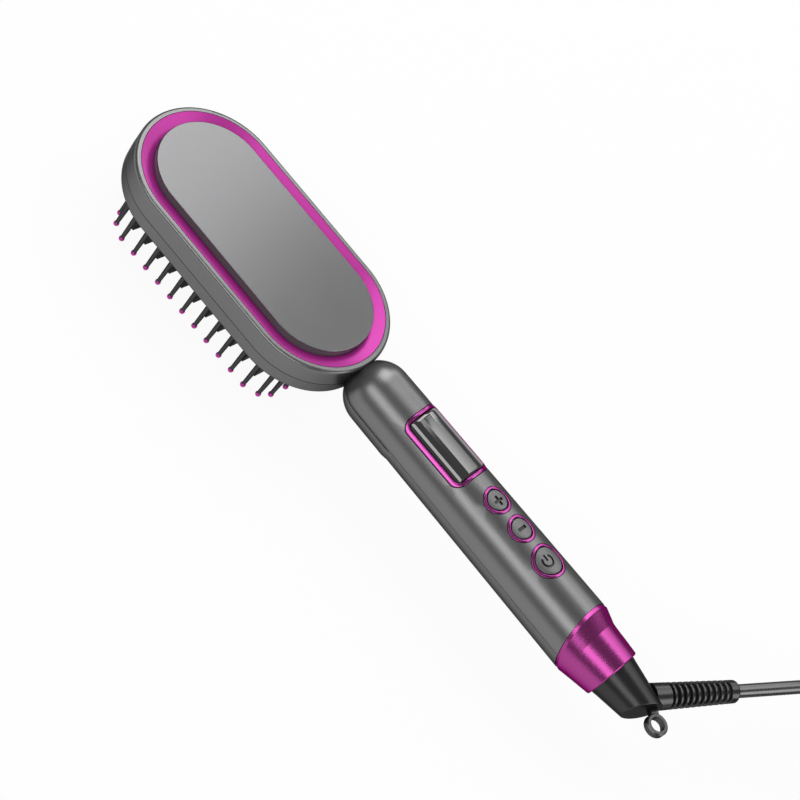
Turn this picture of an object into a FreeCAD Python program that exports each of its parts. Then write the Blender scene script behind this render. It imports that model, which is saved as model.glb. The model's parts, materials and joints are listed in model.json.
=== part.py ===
import FreeCAD, Part
import math
import os

from FreeCAD import Vector

# Electric straightening comb, in millimetres, lying on its bristle tips with its cap up.
# Distances in the head are taken from its middle, and from the neck on from the head's tail end.

# Overall
HEAD_STRAIGHT = 31.8          # half length of the head's straight sides
HEAD_RADIUS = 31.6
HANDLE_HEIGHT = 26.7          # handle axis above the bristle tips
LOOP_AT = 173.5
LOOP_RADIUS = 4.6
FIT = 0.05                    # gap between pieces that seat in each other
SLIP = 0.25                   # gap round pieces that move
OVERRUN = 5.0                 # cutters reach this far past what they cut
FAR = 400.0                   # half size of a cutting block

# Head heights
CASE_BOTTOM = 18.1
CASE_PARTING = 25.7
RIM_TOP = 34.7
CAP_TOP = 36.3
DECK_TOP = 29.4
DECK_THICKNESS = 1.4
FLOOR_THICKNESS = 1.8
HEAD_WALL = 2.35
RIM_ROUND = 1.5
BASE_ROUND = 2.0
BASE_DRAFT = 0.3
PARTING_GROOVE = 0.3          # height of the groove under the upper case
PARTING_GROOVE_DEPTH = 0.7
LIP_THICKNESS = 1.0
LIP_HEIGHT = 1.7
LIP_ROOT = 3.0

# Cap and ring
RING_GAP = 0.25               # between the ring and the case's wall
RING_WIDTH = 5.5
RING_INNER_HEIGHT = 33.0
RING_THICKNESS = 1.5
RING_SKIRT = 0.9
CAP_GAP = 0.2                 # between the cap and the ring
CAP_WALL = 1.8
CAP_EDGE = 0.35

# Bristles
SIDE_ROWS = 5                 # rows each side of the middle one
ROW_MARGIN = 6.3              # from the last row to the end of the plate
BRISTLE_INSET = 4.3
CORNER_BRISTLE_RUNS = (0.0, 2.9, 3.6, 3.7)    # past the end of the plate
CORNER_BRISTLE_SHARES = (0.7753, 0.6266, 0.3734, 0.1234)    # of the head's radius, across
BRISTLE_ROOT_RADIUS = 1.1
BRISTLE_END_RADIUS = 0.7
BRISTLE_PEG_LENGTH = 1.5
TIP_RADIUS = 1.2
TIP_SOCKET = 0.6              # how far the bristle enters its ball

# Heater
PLATE_ROOM = 0.9              # between the plate and the screw bosses
PLATE_INSET = 6.8             # from the head's side to the plate's
PLATE_CORNER = 8.0
PLATE_BOTTOM = 18.4
PLATE_FLANGE = 1.6
PLATE_FLANGE_THICKNESS = 2.0
FIN_INSET = 0.8
FIN_ROOT = 1.8
FIN_CREST = 1.0
FIN_END_HEIGHT = 4.6
FIN_MIDDLE_HEIGHT = 2.4
FIN_SLOPE_WIDTH = 7.0         # the crest slopes over this width at each end
FIN_CORNER = 1.4
HEATER_INNER = 3.0            # from the middle to a heater
HEATER_WIDTH_SHARE = 0.605    # of the plate's half width, to a heater's outer side
HEATER_THICKNESS = 2.0
MICA_THICKNESS = 0.5
MICA_MARGIN = 3.0
CLAMP_THICKNESS = 0.8
CLAMP_END = 2.0               # from a clamp screw to the clamp's end
CLAMP_WIDTH = 8.0
CLAMP_SCREW_SHARE = 0.8314    # of the plate's half length
CLAMP_SCREW_RADIUS = 1.2
CLAMP_SCREW_HEAD = 2.2
CLAMP_SCREW_HEAD_HEIGHT = 1.2
CLAMP_SCREW_DEPTH = 2.0
FUSE_RADIUS = 2.0
FUSE_LENGTH = 11.0
FUSE_INSET = 4.8
SENSOR_RADIUS = 1.3
SENSOR_AT = 22.0
BOSS_RADIUS = 2.7
HEAD_SCREW_Y = 8.8
HEAD_SCREW_ROOM = 0.42        # between a screw's head and the cap's wall
SCREW_RADIUS = 1.2
SCREW_HEAD_RADIUS = 2.2
SCREW_HEAD_HEIGHT = 1.6
HEAD_SCREW_LENGTH = 8.0
LEG_LENGTH = 6.0

# Neck
NECK_RADIUS = 7.0
NECK_BORE = 5.6
NECK_FROM = -2.4
NECK_TO = 18.6
NECK_OVERLAP = 0.2
TONGUE_FROM = -10.9
TONGUE_HALF_WIDTH = 6.4
TONGUE_WALL = 1.2
NECK_WELLS = (3.6, 15.6)
WELL_THICKNESS = 2.0

# Handle
DOME_AT = 10.6
HANDLE_HEAD_RADIUS = 13.35
HANDLE_TAIL_RADIUS = 14.45
HANDLE_TAIL_AT = 124.6
HANDLE_WALL = 1.8
HANDLE_END = 141.6
HEAD_GAP = 0.15
STEP_AT = 28.7
STEP_RUN = 3.1
STEP_HEIGHT = 0.45
SEAM_WIDTH = 0.3              # slot just below the shells' parting
SEAM_DEPTH = 0.6
SEAM_EDGE = 0.6               # height of the sloping edge below the slot
SEAM_EDGE_DEPTH = 0.4
HANDLE_SCREWS = (22.2, 112.6)
HANDLE_SCREW_LENGTH = 12.0
SCREW_SEAT_DEPTH = 7.0        # screw heads bear this far below the axis
COUNTERBORE_RADIUS = 2.6

# Display
WINDOW_AT = 42.7
WINDOW_HALF_LENGTH = 16.5
WINDOW_HALF_WIDTH = 9.9
WINDOW_CORNER = 4.0
LENS_CORNER = 1.0
BEZEL_WIDTH = 1.7
BEZEL_PROUD = 0.35
BEZEL_DEPTH = 1.7
LENS_DEPTH = 1.2
LENS_PROUD = 0.1
LEDGE_WIDTH = 0.9
DISPLAY_HALF_WIDTH = 5.4
DISPLAY_THICKNESS = 3.2
DISPLAY_MARGIN = 2.8

# Board and buttons
BOARD_FROM = 29.1
BOARD_TO = 107.6
BOARD_HALF_WIDTH = 8.4
BOARD_TOP = 7.1               # above the handle's axis
BOARD_THICKNESS = 1.6
POST_AT = (62.9, 106.6)
POST_Y = 6.0
POST_RADIUS = 1.9
POST_SCREW_LENGTH = 3.6
POST_SCREW_RADIUS = 0.9
POST_SCREW_HEAD = 1.8
POST_SCREW_HEAD_HEIGHT = 1.0
BUTTONS = {"plus": (70.9, 4.3, 6.0), "minus": (84.9, 4.3, 6.0), "power": (100.6, 5.7, 7.35)}
BUTTON_PROUD = 0.15
BUTTON_FLANGE = 0.8
BUTTON_FLANGE_TOP = 2.0       # below the handle's surface
BUTTON_FLANGE_BOTTOM = 2.9
BUTTON_TRAVEL = 0.5
STEM_RADIUS = 1.6
RING_PROUD = 0.4
RING_DEPTH = 0.8
SWITCH_SIZE = 6.0
SWITCH_HEIGHT = 2.6
STEM_ENTRY = 0.7              # how far a stem reaches into its switch

# Collar and swivel
COLLAR_AT = 129.4             # where the slanted front edge crosses the axis
COLLAR_SLANT = 17.8           # degrees, top edge nearer the head
COLLAR_LIFT = 0.4             # how far the front edge's slope rises
COLLAR_RADIUS = 14.55
COLLAR_EDGE = 1.6             # width of that slope
COLLAR_WAIST_AT = 135.6       # between the band and the cone
COLLAR_WAIST_RADIUS = 13.3
COLLAR_WAIST_SLANT = 8.8
COLLAR_WAIST_DROP = 1.0       # middle of the waist below the axis
COLLAR_END = 148.2
COLLAR_END_RADIUS = 11.85
COLLAR_END_EDGE = 0.4
COLLAR_LIP = 2.1
LEAST_OVAL = 1e-4             # keeps a square section's ring an ellipse too
COLLAR_LIP_RADIUS = 9.3
SLEEVE_FROM = 116.6
SLEEVE_STEP = 124.2
SLEEVE_RADIUS = 12.4
SLEEVE_SLIM_RADIUS = 10.6
SLEEVE_BORE = 8.9
SLEEVE_LIP = 5.0
SPINDLE_RADIUS = 7.1
SPINDLE_FROM = 135.6
SPINDLE_BORE = 4.8
SPINDLE_SLIP = 0.06           # running clearance of the spindle in the sleeve
CLIP_RADIUS = 8.6
CLIP_THICKNESS = 2.4
CLIP_SLIP = 0.3
CAP_CONE_FROM = 148.8
CAP_CONE_RADIUS = 10.1
CAP_CONE_SLOPE = 0.15
CAP_CONE_REACH = 26.0
CAP_LEAD = 0.8                # slope at the swivel's front edge
CAP_END_EDGE = 0.3
CAP_END_AT = 166.45           # slanted end face on the axis
CAP_BORE_END = 161.0
LOOP_HOLE_RADIUS = 3.0
LOOP_THICKNESS = 3.4
LOOP_EDGE = 0.5
LOOP_NECK_WIDTH = 3.4
LOOP_NECK_THICKNESS = 2.6
LOOP_NECK_ANGLE = 143.8       # degrees, from the loop's middle towards the swivel

# Cord
CORD_ANGLE = 60.0             # degrees between the handle's axis and the cord
CORD_CROSSING = 160.2         # where the cord's line crosses the handle's axis
CORD_RADIUS = 2.7
RELIEF_REACH = 48.3
RELIEF_RADIUS = 5.63          # where the cord's line crosses the axis
RELIEF_SLOPE = 0.0229
RELIEF_PEG_RADIUS = 4.15
RELIEF_PEG_FROM = 3.5
RELIEF_PEG_TO = 14.0
RELIEF_SMOOTH = 15.5
RIB_COUNT = 10
RIB_PITCH = 2.78
RIB_CORE = 3.7
RIB_RAMP = 0.5
RELIEF_END_RING = 4.4         # length of the plain ring at the end
RELIEF_END_ROUND = 1.2
CORD_GAP = 0.05               # between the relief's end and the lying cord
CORD_INNER_FROM = 1.5
COIL_CENTRE = (272.6, 62.0)
COIL_TURNS = 8.25
COIL_LAYERS = 4
CLIMB_TURNS = 0.5             # turns taken to climb from layer to layer
COIL_OUTER_RADIUS = 35.5
COIL_STEP = 5.95              # from turn to turn and from layer to layer
COIL_SPREAD = 0.25            # share of a step that a climbing half turn swings out by
TIE_THICKNESS = 0.7
TIE_WIDTH = 9.0
TIE_GAP = 0.2
TIE_SIDE_GAP = 0.5
TIE_ANGLES = (-135.0, -45.0)
LEAD_FIRST_RUN = 52.0
LEAD_CORNER_AT = 240.0        # where the lead has come down to the coil's level
TAIL_TURNS = ((308.1, 40.6), (309.6, 12.6), (309.6, -2.0))
PLUG_LENGTH = 30.0
PLUG_HALF_WIDTH = 13.0
PLUG_REAR_HALF_WIDTH = 5.5
PLUG_SHOULDER = 12.0
PLUG_HEIGHT = 13.6
PLUG_CHAMFER = 1.6
PIN_RADIUS = 2.0
PIN_LENGTH = 19.0
PIN_SPACING = 18.6
PIN_POINT = 1.2
LEAD_WIRE_RADIUS = 0.8
LEAD_ROOM = 0.6               # between an inner wire and the neck's bore

# Worked out
HEAD_END = HEAD_STRAIGHT + HEAD_RADIUS
TAIL_REACH = LOOP_AT + LOOP_RADIUS
HEAD_X = -TAIL_REACH / 2
WALL_INNER_RADIUS = HEAD_RADIUS - HEAD_WALL
RING_OUTER_RADIUS = WALL_INNER_RADIUS - RING_GAP
RING_INNER_RADIUS = RING_OUTER_RADIUS - RING_WIDTH
CAP_RADIUS = RING_INNER_RADIUS - CAP_GAP
SCREW_CIRCLE = CAP_RADIUS - CAP_WALL - SCREW_HEAD_RADIUS - HEAD_SCREW_ROOM
HEAD_SCREW_X = HEAD_STRAIGHT + math.sqrt(SCREW_CIRCLE ** 2 - HEAD_SCREW_Y ** 2)
PLATE_HALF_LENGTH = HEAD_SCREW_X - BOSS_RADIUS - PLATE_ROOM - PLATE_FLANGE
PLATE_HALF_WIDTH = HEAD_RADIUS - PLATE_INSET
ROW_PITCH = (PLATE_HALF_LENGTH - ROW_MARGIN) / SIDE_ROWS
FIN_HALF_WIDTH = PLATE_HALF_WIDTH - FIN_INSET
FUSE_AT_Y = PLATE_HALF_WIDTH - FUSE_INSET
CLAMP_SCREW_AT = CLAMP_SCREW_SHARE * PLATE_HALF_LENGTH
HEATER_HALF_LENGTH = CLAMP_SCREW_AT - MICA_MARGIN
HEATER_OUTER = HEATER_WIDTH_SHARE * PLATE_HALF_WIDTH
HANDLE_SLOPE = (HANDLE_TAIL_RADIUS - HANDLE_HEAD_RADIUS) / (HANDLE_TAIL_AT - DOME_AT)
PLATE_TOP = CASE_BOTTOM + FLOOR_THICKNESS + PLATE_FLANGE_THICKNESS
AXIS_Z = HANDLE_HEIGHT
CORD_ACROSS = Vector(math.cos(math.radians(CORD_ANGLE)), math.sin(math.radians(CORD_ANGLE)), 0)
X_AXIS = Vector(1, 0, 0)
Y_AXIS = Vector(0, 1, 0)
Z_AXIS = Vector(0, 0, 1)


def at(distance):
    """Place along X of a distance from the middle of the head."""
    return HEAD_X + distance


def past(distance):
    """Place along X of a distance past the head's tail end."""
    return HEAD_X + HEAD_END + distance


def block(x0, x1, y0, y1, z0, z1):
    return Part.makeBox(x1 - x0, y1 - y0, z1 - z0, Vector(x0, y0, z0))


def post(x, y, z0, z1, radius):
    return Part.makeCylinder(radius, z1 - z0, Vector(x, y, z0), Z_AXIS)


def bar(x0, x1, radius):
    """Round bar on the handle's axis."""
    return Part.makeCylinder(radius, x1 - x0, Vector(x0, 0, AXIS_Z), X_AXIS)


def rounded_prism(x, half_length, half_width, corner, z0, z1):
    """Upright prism with a rounded rectangle for its plan."""
    long_way = block(x - half_length, x + half_length, corner - half_width, half_width - corner, z0, z1)
    short_way = block(x - half_length + corner, x + half_length - corner, -half_width, half_width, z0, z1)
    corners = []
    for side_x in (-1, 1):
        for side_y in (-1, 1):
            centre_x = x + side_x * (half_length - corner)
            corners.append(post(centre_x, side_y * (half_width - corner), z0, z1, corner))
    return long_way.fuse([short_way] + corners).removeSplitter()


def stadium(radius, z0, z1):
    """Upright prism with the head's plan."""
    middle = block(at(-HEAD_STRAIGHT), at(HEAD_STRAIGHT), -radius, radius, z0, z1)
    ends = [post(at(side * HEAD_STRAIGHT), 0, z0, z1, radius) for side in (-1, 1)]
    return middle.fuse(ends).removeSplitter()


def outline_face(points, lift):
    """Closed face through points; a point marked True is the middle of an arc."""
    edges = []
    start = lift(*points[0][:2])
    middle = None
    for entry in list(points[1:]) + [points[0]]:
        place = lift(*entry[:2])
        if len(entry) > 2:
            middle = place
            continue
        if middle is None:
            edges.append(Part.LineSegment(start, place).toShape())
        else:
            edges.append(Part.Arc(start, middle, place).toShape())
        start = place
        middle = None
    return Part.Face(Part.Wire(edges))


def stadium_band(points):
    """Section of radius and height carried round the head."""
    pieces = []
    for side in (-1, 1):
        straight = outline_face(points, lambda r, z: Vector(at(-HEAD_STRAIGHT), side * r, z))
        pieces.append(straight.extrude(Vector(2 * HEAD_STRAIGHT, 0, 0)))
        centre = Vector(at(side * HEAD_STRAIGHT), 0, 0)
        section = outline_face(points, lambda r, z: Vector(centre.x, -side * r, z))
        pieces.append(section.revolve(centre, Z_AXIS, 180))
    return pieces[0].fuse(pieces[1:]).removeSplitter()


def arc_middle(centre, radius, degrees):
    angle = math.radians(degrees)
    return (centre[0] + radius * math.cos(angle), centre[1] + radius * math.sin(angle), True)


def spin(points):
    """Section of place along X and radius turned about the handle's axis."""
    face = outline_face(points, lambda x, r: Vector(x, 0, AXIS_Z + r))
    return face.revolve(Vector(0, 0, AXIS_Z), X_AXIS, 360)


def handle_radius(distance):
    return HANDLE_HEAD_RADIUS + (distance - DOME_AT) * HANDLE_SLOPE


def handle_body(grow):
    """Solid of the handle's outer form, grown or shrunk."""
    dome = HANDLE_HEAD_RADIUS + grow
    points = [
        (past(DOME_AT) - dome, 0),
        arc_middle((past(DOME_AT), 0), dome, 135),
        (past(DOME_AT), dome),
        (past(HANDLE_END), handle_radius(HANDLE_END) + grow),
        (past(HANDLE_END), 0),
    ]
    return spin(points)


def half_space(upper):
    low = AXIS_Z if upper else AXIS_Z - FAR
    return block(-FAR, FAR, -FAR, FAR, low, low + FAR)


def beyond_collar(offset):
    """Everything on the tail side of the collar's slanted front edge."""
    cutter = block(0, FAR, -FAR, FAR, -FAR, FAR)
    cutter.rotate(Vector(0, 0, 0), Y_AXIS, -COLLAR_SLANT)
    cutter.translate(Vector(past(COLLAR_AT + offset), 0, AXIS_Z))
    return cutter


def along_cord(shape):
    """Turn a shape built along X at the origin onto the cord's line."""
    shape.rotate(Vector(0, 0, 0), Z_AXIS, CORD_ANGLE)
    shape.translate(Vector(past(CORD_CROSSING), 0, AXIS_Z))
    return shape


def tube(points, radius, name=None):
    """Round tube on straight runs joined by tangent arcs as large as the runs allow."""
    run_share = 0.45
    edges = []
    start = points[0]
    for before, corner, after in zip(points, points[1:], points[2:]):
        incoming = (corner - before).normalize()
        outgoing = (after - corner).normalize()
        turn = incoming.getAngle(outgoing)
        reach = run_share * min((corner - before).Length, (after - corner).Length)
        arc_radius = reach / math.tan(turn / 2)
        enter = corner - incoming * reach
        leave = corner + outgoing * reach
        to_centre = (outgoing - incoming).normalize()
        centre_distance = arc_radius / math.cos(turn / 2)
        middle = corner + to_centre * (centre_distance - arc_radius)
        edges.append(Part.LineSegment(start, enter).toShape())
        edges.append(Part.Arc(enter, middle, leave).toShape())
        start = leave
        if name:
            print(name, "arc radius", round(arc_radius, 1), "turn", round(math.degrees(turn), 1))
    edges.append(Part.LineSegment(start, points[-1]).toShape())
    return sweep(edges, points[0], points[1] - points[0], radius, name)


def sweep(edges, start, direction, radius, name):
    length = sum(edge.Length for edge in edges)
    section = Part.Wire([Part.Circle(start, direction, radius).toShape()])
    solid = Part.Wire(edges).makePipeShell([section], True, False)
    if name:
        plain = math.pi * radius ** 2 * length
        print(name, "length", round(length, 1), "volume share", round(solid.Volume / plain, 4))
    return solid


def save(node, shapes):
    solids = shapes if isinstance(shapes, list) else [shapes]
    shape = solids[0] if len(solids) == 1 else Part.makeCompound(solids)
    shape.exportStep("parts/" + node + ".step")


# Head

def neck_hole():
    return bar(past(NECK_FROM - FIT), past(OVERRUN), NECK_RADIUS + FIT)


def tongue(grow):
    """Flat inner end of the neck, held between the head's floor and deck."""
    half = TONGUE_HALF_WIDTH + grow
    return block(past(TONGUE_FROM) - grow, past(NECK_FROM + NECK_OVERLAP) + grow, -half, half,
                 CASE_BOTTOM + FLOOR_THICKNESS + FIT - grow, DECK_TOP - DECK_THICKNESS - FIT + grow)


def head_screw_places():
    return [(at(side_x * HEAD_SCREW_X), side_y * HEAD_SCREW_Y)
            for side_x in (-1, 1) for side_y in (-1, 1)]


def make_upper_case():
    round_centre = (HEAD_RADIUS - RIM_ROUND, RIM_TOP - RIM_ROUND)
    wall = stadium_band([
        (WALL_INNER_RADIUS, CASE_PARTING),
        (HEAD_RADIUS, CASE_PARTING),
        (HEAD_RADIUS, RIM_TOP - RIM_ROUND),
        arc_middle(round_centre, RIM_ROUND, 45),
        (HEAD_RADIUS - RIM_ROUND, RIM_TOP),
        (WALL_INNER_RADIUS, RIM_TOP),
    ])
    seat = (WALL_INNER_RADIUS + HEAD_RADIUS) / 2
    deck = stadium(seat, DECK_TOP - DECK_THICKNESS, DECK_TOP)
    case = wall.fuse(deck).removeSplitter()
    case = case.cut([neck_hole(), tongue(FIT)])
    for x, y in head_screw_places():
        case = case.cut(post(x, y, DECK_TOP - OVERRUN, DECK_TOP + OVERRUN, SCREW_RADIUS + FIT))
    return case


def make_lower_case():
    base_radius = HEAD_RADIUS - BASE_DRAFT
    round_centre = (base_radius - BASE_ROUND, CASE_BOTTOM + BASE_ROUND)
    lip_outer = WALL_INNER_RADIUS - FIT
    wall = stadium_band([
        (lip_outer - LIP_THICKNESS, CASE_BOTTOM),
        (base_radius - BASE_ROUND, CASE_BOTTOM),
        arc_middle(round_centre, BASE_ROUND, -45),
        (base_radius, CASE_BOTTOM + BASE_ROUND),
        (HEAD_RADIUS, CASE_PARTING - PARTING_GROOVE),
        (HEAD_RADIUS - PARTING_GROOVE_DEPTH, CASE_PARTING - PARTING_GROOVE),
        (HEAD_RADIUS - PARTING_GROOVE_DEPTH, CASE_PARTING),
        (lip_outer, CASE_PARTING),
        (lip_outer, CASE_PARTING + LIP_HEIGHT),
        (lip_outer - LIP_THICKNESS, CASE_PARTING + LIP_HEIGHT),
        (lip_outer - LIP_THICKNESS, CASE_PARTING - LIP_ROOT),
        (lip_outer - LIP_THICKNESS / 2, CASE_PARTING - LIP_ROOT - LIP_THICKNESS / 2),
        (lip_outer - LIP_THICKNESS / 2, CASE_BOTTOM + FLOOR_THICKNESS),
        (lip_outer - LIP_THICKNESS, CASE_BOTTOM + FLOOR_THICKNESS),
    ])
    floor_top = CASE_BOTTOM + FLOOR_THICKNESS
    floor = stadium(lip_outer - LIP_THICKNESS / 2, CASE_BOTTOM, floor_top)
    boss_top = DECK_TOP - DECK_THICKNESS
    bosses = [post(x, y, CASE_BOTTOM, boss_top, BOSS_RADIUS) for x, y in head_screw_places()]
    case = wall.fuse([floor] + bosses).removeSplitter()
    opening = rounded_prism(at(0), PLATE_HALF_LENGTH + FIT, PLATE_HALF_WIDTH + FIT, PLATE_CORNER,
                            CASE_BOTTOM - OVERRUN, floor_top + OVERRUN)
    cutters = [opening, neck_hole(), tongue(FIT)]
    for x, y in head_screw_places():
        cutters.append(post(x, y, boss_top - HEAD_SCREW_LENGTH, boss_top + OVERRUN, SCREW_RADIUS + FIT))
    for x, y in bristle_places():
        cutters.append(post(x, y, CASE_BOTTOM - OVERRUN, CASE_BOTTOM + BRISTLE_PEG_LENGTH,
                            BRISTLE_ROOT_RADIUS + FIT))
    return case.cut(cutters)


def make_accent_ring():
    drop = (RIM_TOP - RING_INNER_HEIGHT) / RING_WIDTH * RING_SKIRT
    outer_skirt = RING_OUTER_RADIUS - RING_SKIRT
    inner_skirt = RING_INNER_RADIUS + RING_SKIRT
    return stadium_band([
        (RING_OUTER_RADIUS, DECK_TOP),
        (RING_OUTER_RADIUS, RIM_TOP),
        (RING_INNER_RADIUS, RING_INNER_HEIGHT),
        (RING_INNER_RADIUS, DECK_TOP),
        (inner_skirt, DECK_TOP),
        (inner_skirt, RING_INNER_HEIGHT + drop - RING_THICKNESS),
        (outer_skirt, RIM_TOP - drop - RING_THICKNESS),
        (outer_skirt, DECK_TOP),
    ])


def make_cap_panel():
    outer = stadium(CAP_RADIUS, DECK_TOP, CAP_TOP - CAP_EDGE)
    top = stadium_band([
        (0, CAP_TOP - CAP_EDGE),
        (CAP_RADIUS, CAP_TOP - CAP_EDGE),
        arc_middle((CAP_RADIUS - CAP_EDGE, CAP_TOP - CAP_EDGE), CAP_EDGE, 45),
        (CAP_RADIUS - CAP_EDGE, CAP_TOP),
        (0, CAP_TOP),
    ])
    hollow = stadium(CAP_RADIUS - CAP_WALL, DECK_TOP - OVERRUN, CAP_TOP - CAP_WALL)
    return outer.fuse(top).removeSplitter().cut(hollow)


def bristle_places():
    places = []
    for side_y in (-1, 1):
        for row in range(-SIDE_ROWS, SIDE_ROWS + 1):
            places.append((at(row * ROW_PITCH), side_y * (HEAD_RADIUS - BRISTLE_INSET)))
        for side_x in (-1, 1):
            for run, share in zip(CORNER_BRISTLE_RUNS, CORNER_BRISTLE_SHARES):
                places.append((at(side_x * (PLATE_HALF_LENGTH + run)), side_y * share * HEAD_RADIUS))
    return places


def make_bristle(x, y):
    tip_top = 2 * TIP_RADIUS - TIP_SOCKET
    rod = Part.makeCone(BRISTLE_END_RADIUS, BRISTLE_ROOT_RADIUS, CASE_BOTTOM - tip_top,
                        Vector(x, y, tip_top), Z_AXIS)
    peg = post(x, y, CASE_BOTTOM, CASE_BOTTOM + BRISTLE_PEG_LENGTH - FIT, BRISTLE_ROOT_RADIUS)
    return rod.fuse(peg)


def make_bristle_tip(x, y):
    ball = Part.makeSphere(TIP_RADIUS, Vector(x, y, TIP_RADIUS))
    tip_top = 2 * TIP_RADIUS - TIP_SOCKET
    return ball.cut(post(x, y, tip_top, tip_top + OVERRUN, BRISTLE_ROOT_RADIUS))


def make_heating_plate():
    body = rounded_prism(at(0), PLATE_HALF_LENGTH, PLATE_HALF_WIDTH, PLATE_CORNER, PLATE_BOTTOM, PLATE_TOP)
    flange = rounded_prism(at(0), PLATE_HALF_LENGTH + PLATE_FLANGE, PLATE_HALF_WIDTH + PLATE_FLANGE,
                           PLATE_CORNER, PLATE_TOP - PLATE_FLANGE_THICKNESS, PLATE_TOP)
    plate = body.fuse(flange).removeSplitter()
    for side in (-1, 1):
        hole = post(at(side * CLAMP_SCREW_AT), 0, PLATE_TOP - CLAMP_SCREW_DEPTH, PLATE_TOP + OVERRUN,
                    CLAMP_SCREW_RADIUS + FIT)
        plate = plate.cut(hole)
    return plate


def make_fin(x):
    """Blade across the head; its crest is deepest in the middle and its end corners are rounded off."""
    half = FIN_HALF_WIDTH
    corner = FIN_CORNER
    slope_end = half - FIN_SLOPE_WIDTH
    end_height = FIN_END_HEIGHT + corner
    points = [(-half, PLATE_BOTTOM), (half, PLATE_BOTTOM), (half, end_height),
              arc_middle((half - corner, end_height), corner, -45), (half - corner, FIN_END_HEIGHT),
              (slope_end, FIN_MIDDLE_HEIGHT), (-slope_end, FIN_MIDDLE_HEIGHT),
              (corner - half, FIN_END_HEIGHT), arc_middle((corner - half, end_height), corner, -135),
              (-half, end_height)]
    blade = outline_face(points, lambda y, z: Vector(x - FIN_ROOT / 2, y, z)).extrude(Vector(FIN_ROOT, 0, 0))
    taper = outline_face([(-FIN_ROOT / 2, PLATE_BOTTOM), (FIN_ROOT / 2, PLATE_BOTTOM),
                          (FIN_CREST / 2, FIN_MIDDLE_HEIGHT), (-FIN_CREST / 2, FIN_MIDDLE_HEIGHT)],
                         lambda dx, z: Vector(x + dx, -half, z)).extrude(Vector(0, 2 * half, 0))
    return blade.common(taper)


def make_heaters():
    bars = []
    for side in (-1, 1):
        low, high = sorted((side * HEATER_INNER, side * HEATER_OUTER))
        bars.append(block(at(-HEATER_HALF_LENGTH), at(HEATER_HALF_LENGTH), low, high,
                          PLATE_TOP, PLATE_TOP + HEATER_THICKNESS))
    return bars


def make_mica():
    low = PLATE_TOP + HEATER_THICKNESS
    return block(at(-HEATER_HALF_LENGTH), at(HEATER_HALF_LENGTH), -HEATER_OUTER, HEATER_OUTER,
                 low, low + MICA_THICKNESS)


def make_clamp():
    low = PLATE_TOP + HEATER_THICKNESS + MICA_THICKNESS
    half = CLAMP_SCREW_AT + CLAMP_END
    strip = block(at(-half), at(half), -CLAMP_WIDTH / 2, CLAMP_WIDTH / 2, low, low + CLAMP_THICKNESS)
    wing = block(at(-CLAMP_WIDTH), at(CLAMP_WIDTH), -HEATER_OUTER, HEATER_OUTER, low, low + CLAMP_THICKNESS)
    holes = []
    for side in (-1, 1):
        holes.append(post(at(side * CLAMP_SCREW_AT), 0, low - OVERRUN, low + OVERRUN,
                          CLAMP_SCREW_RADIUS + FIT))
    return strip.fuse(wing).removeSplitter().cut(holes)


def make_clamp_screw(side):
    x = at(side * CLAMP_SCREW_AT)
    seat = PLATE_TOP + HEATER_THICKNESS + MICA_THICKNESS + CLAMP_THICKNESS
    shank = post(x, 0, PLATE_TOP - CLAMP_SCREW_DEPTH, seat, CLAMP_SCREW_RADIUS)
    head = post(x, 0, seat, seat + CLAMP_SCREW_HEAD_HEIGHT, CLAMP_SCREW_HEAD)
    return shank.fuse(head)


def make_fuse():
    start = Vector(at(-FUSE_LENGTH / 2), FUSE_AT_Y, PLATE_TOP + FUSE_RADIUS)
    return Part.makeCylinder(FUSE_RADIUS, FUSE_LENGTH, start, X_AXIS)


def make_sensor():
    return Part.makeSphere(SENSOR_RADIUS, Vector(at(SENSOR_AT), FUSE_AT_Y, PLATE_TOP + SENSOR_RADIUS))


def make_head_screw(x, y):
    head = post(x, y, DECK_TOP, DECK_TOP + SCREW_HEAD_HEIGHT, SCREW_HEAD_RADIUS)
    low = DECK_TOP - DECK_THICKNESS - HEAD_SCREW_LENGTH + FIT
    return head.fuse(post(x, y, low, DECK_TOP, SCREW_RADIUS))


def make_neck_tube():
    pipe = bar(past(NECK_FROM), past(NECK_TO), NECK_RADIUS)
    bore = bar(past(NECK_FROM), past(NECK_TO + OVERRUN), NECK_BORE)
    half = TONGUE_HALF_WIDTH - TONGUE_WALL
    channel = block(past(TONGUE_FROM - OVERRUN), past(NECK_FROM + NECK_OVERLAP), -half, half,
                    CASE_BOTTOM + FLOOR_THICKNESS + TONGUE_WALL, DECK_TOP - DECK_THICKNESS - TONGUE_WALL)
    return pipe.fuse(tongue(0)).removeSplitter().cut([bore, channel])


# Handle

def neck_wells():
    """Inner bulkheads that hold the neck."""
    inner = handle_body(-HANDLE_WALL / 2)
    wells = []
    for place in NECK_WELLS:
        slab = block(past(place - WELL_THICKNESS / 2), past(place + WELL_THICKNESS / 2),
                     -FAR, FAR, -FAR, FAR)
        wells.append(inner.common(slab))
    return wells


def seam_slot():
    slab = block(-FAR, FAR, -FAR, FAR, AXIS_Z - SEAM_WIDTH, AXIS_Z + SEAM_WIDTH)
    return slab.cut(handle_body(-SEAM_DEPTH))


def plan_outline(grow, z):
    """Outline of the handle's plan at one height."""
    dome = HANDLE_HEAD_RADIUS + grow
    end = handle_radius(HANDLE_END) + grow
    points = [(past(HANDLE_END), -end), (past(DOME_AT), -dome), (past(DOME_AT) - dome, 0, True),
              (past(DOME_AT), dome), (past(HANDLE_END), end)]
    return outline_face(points, lambda x, y: Vector(x, y, z)).OuterWire


def seam_edge():
    """What is cut off the back shell's upper edge so that it slopes."""
    top = AXIS_Z - SEAM_WIDTH
    low = top - SEAM_EDGE
    core = Part.makeLoft([plan_outline(0, low), plan_outline(-SEAM_EDGE_DEPTH, top)], True, True)
    return block(-FAR, FAR, -FAR, FAR, low, top).cut(core)


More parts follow.
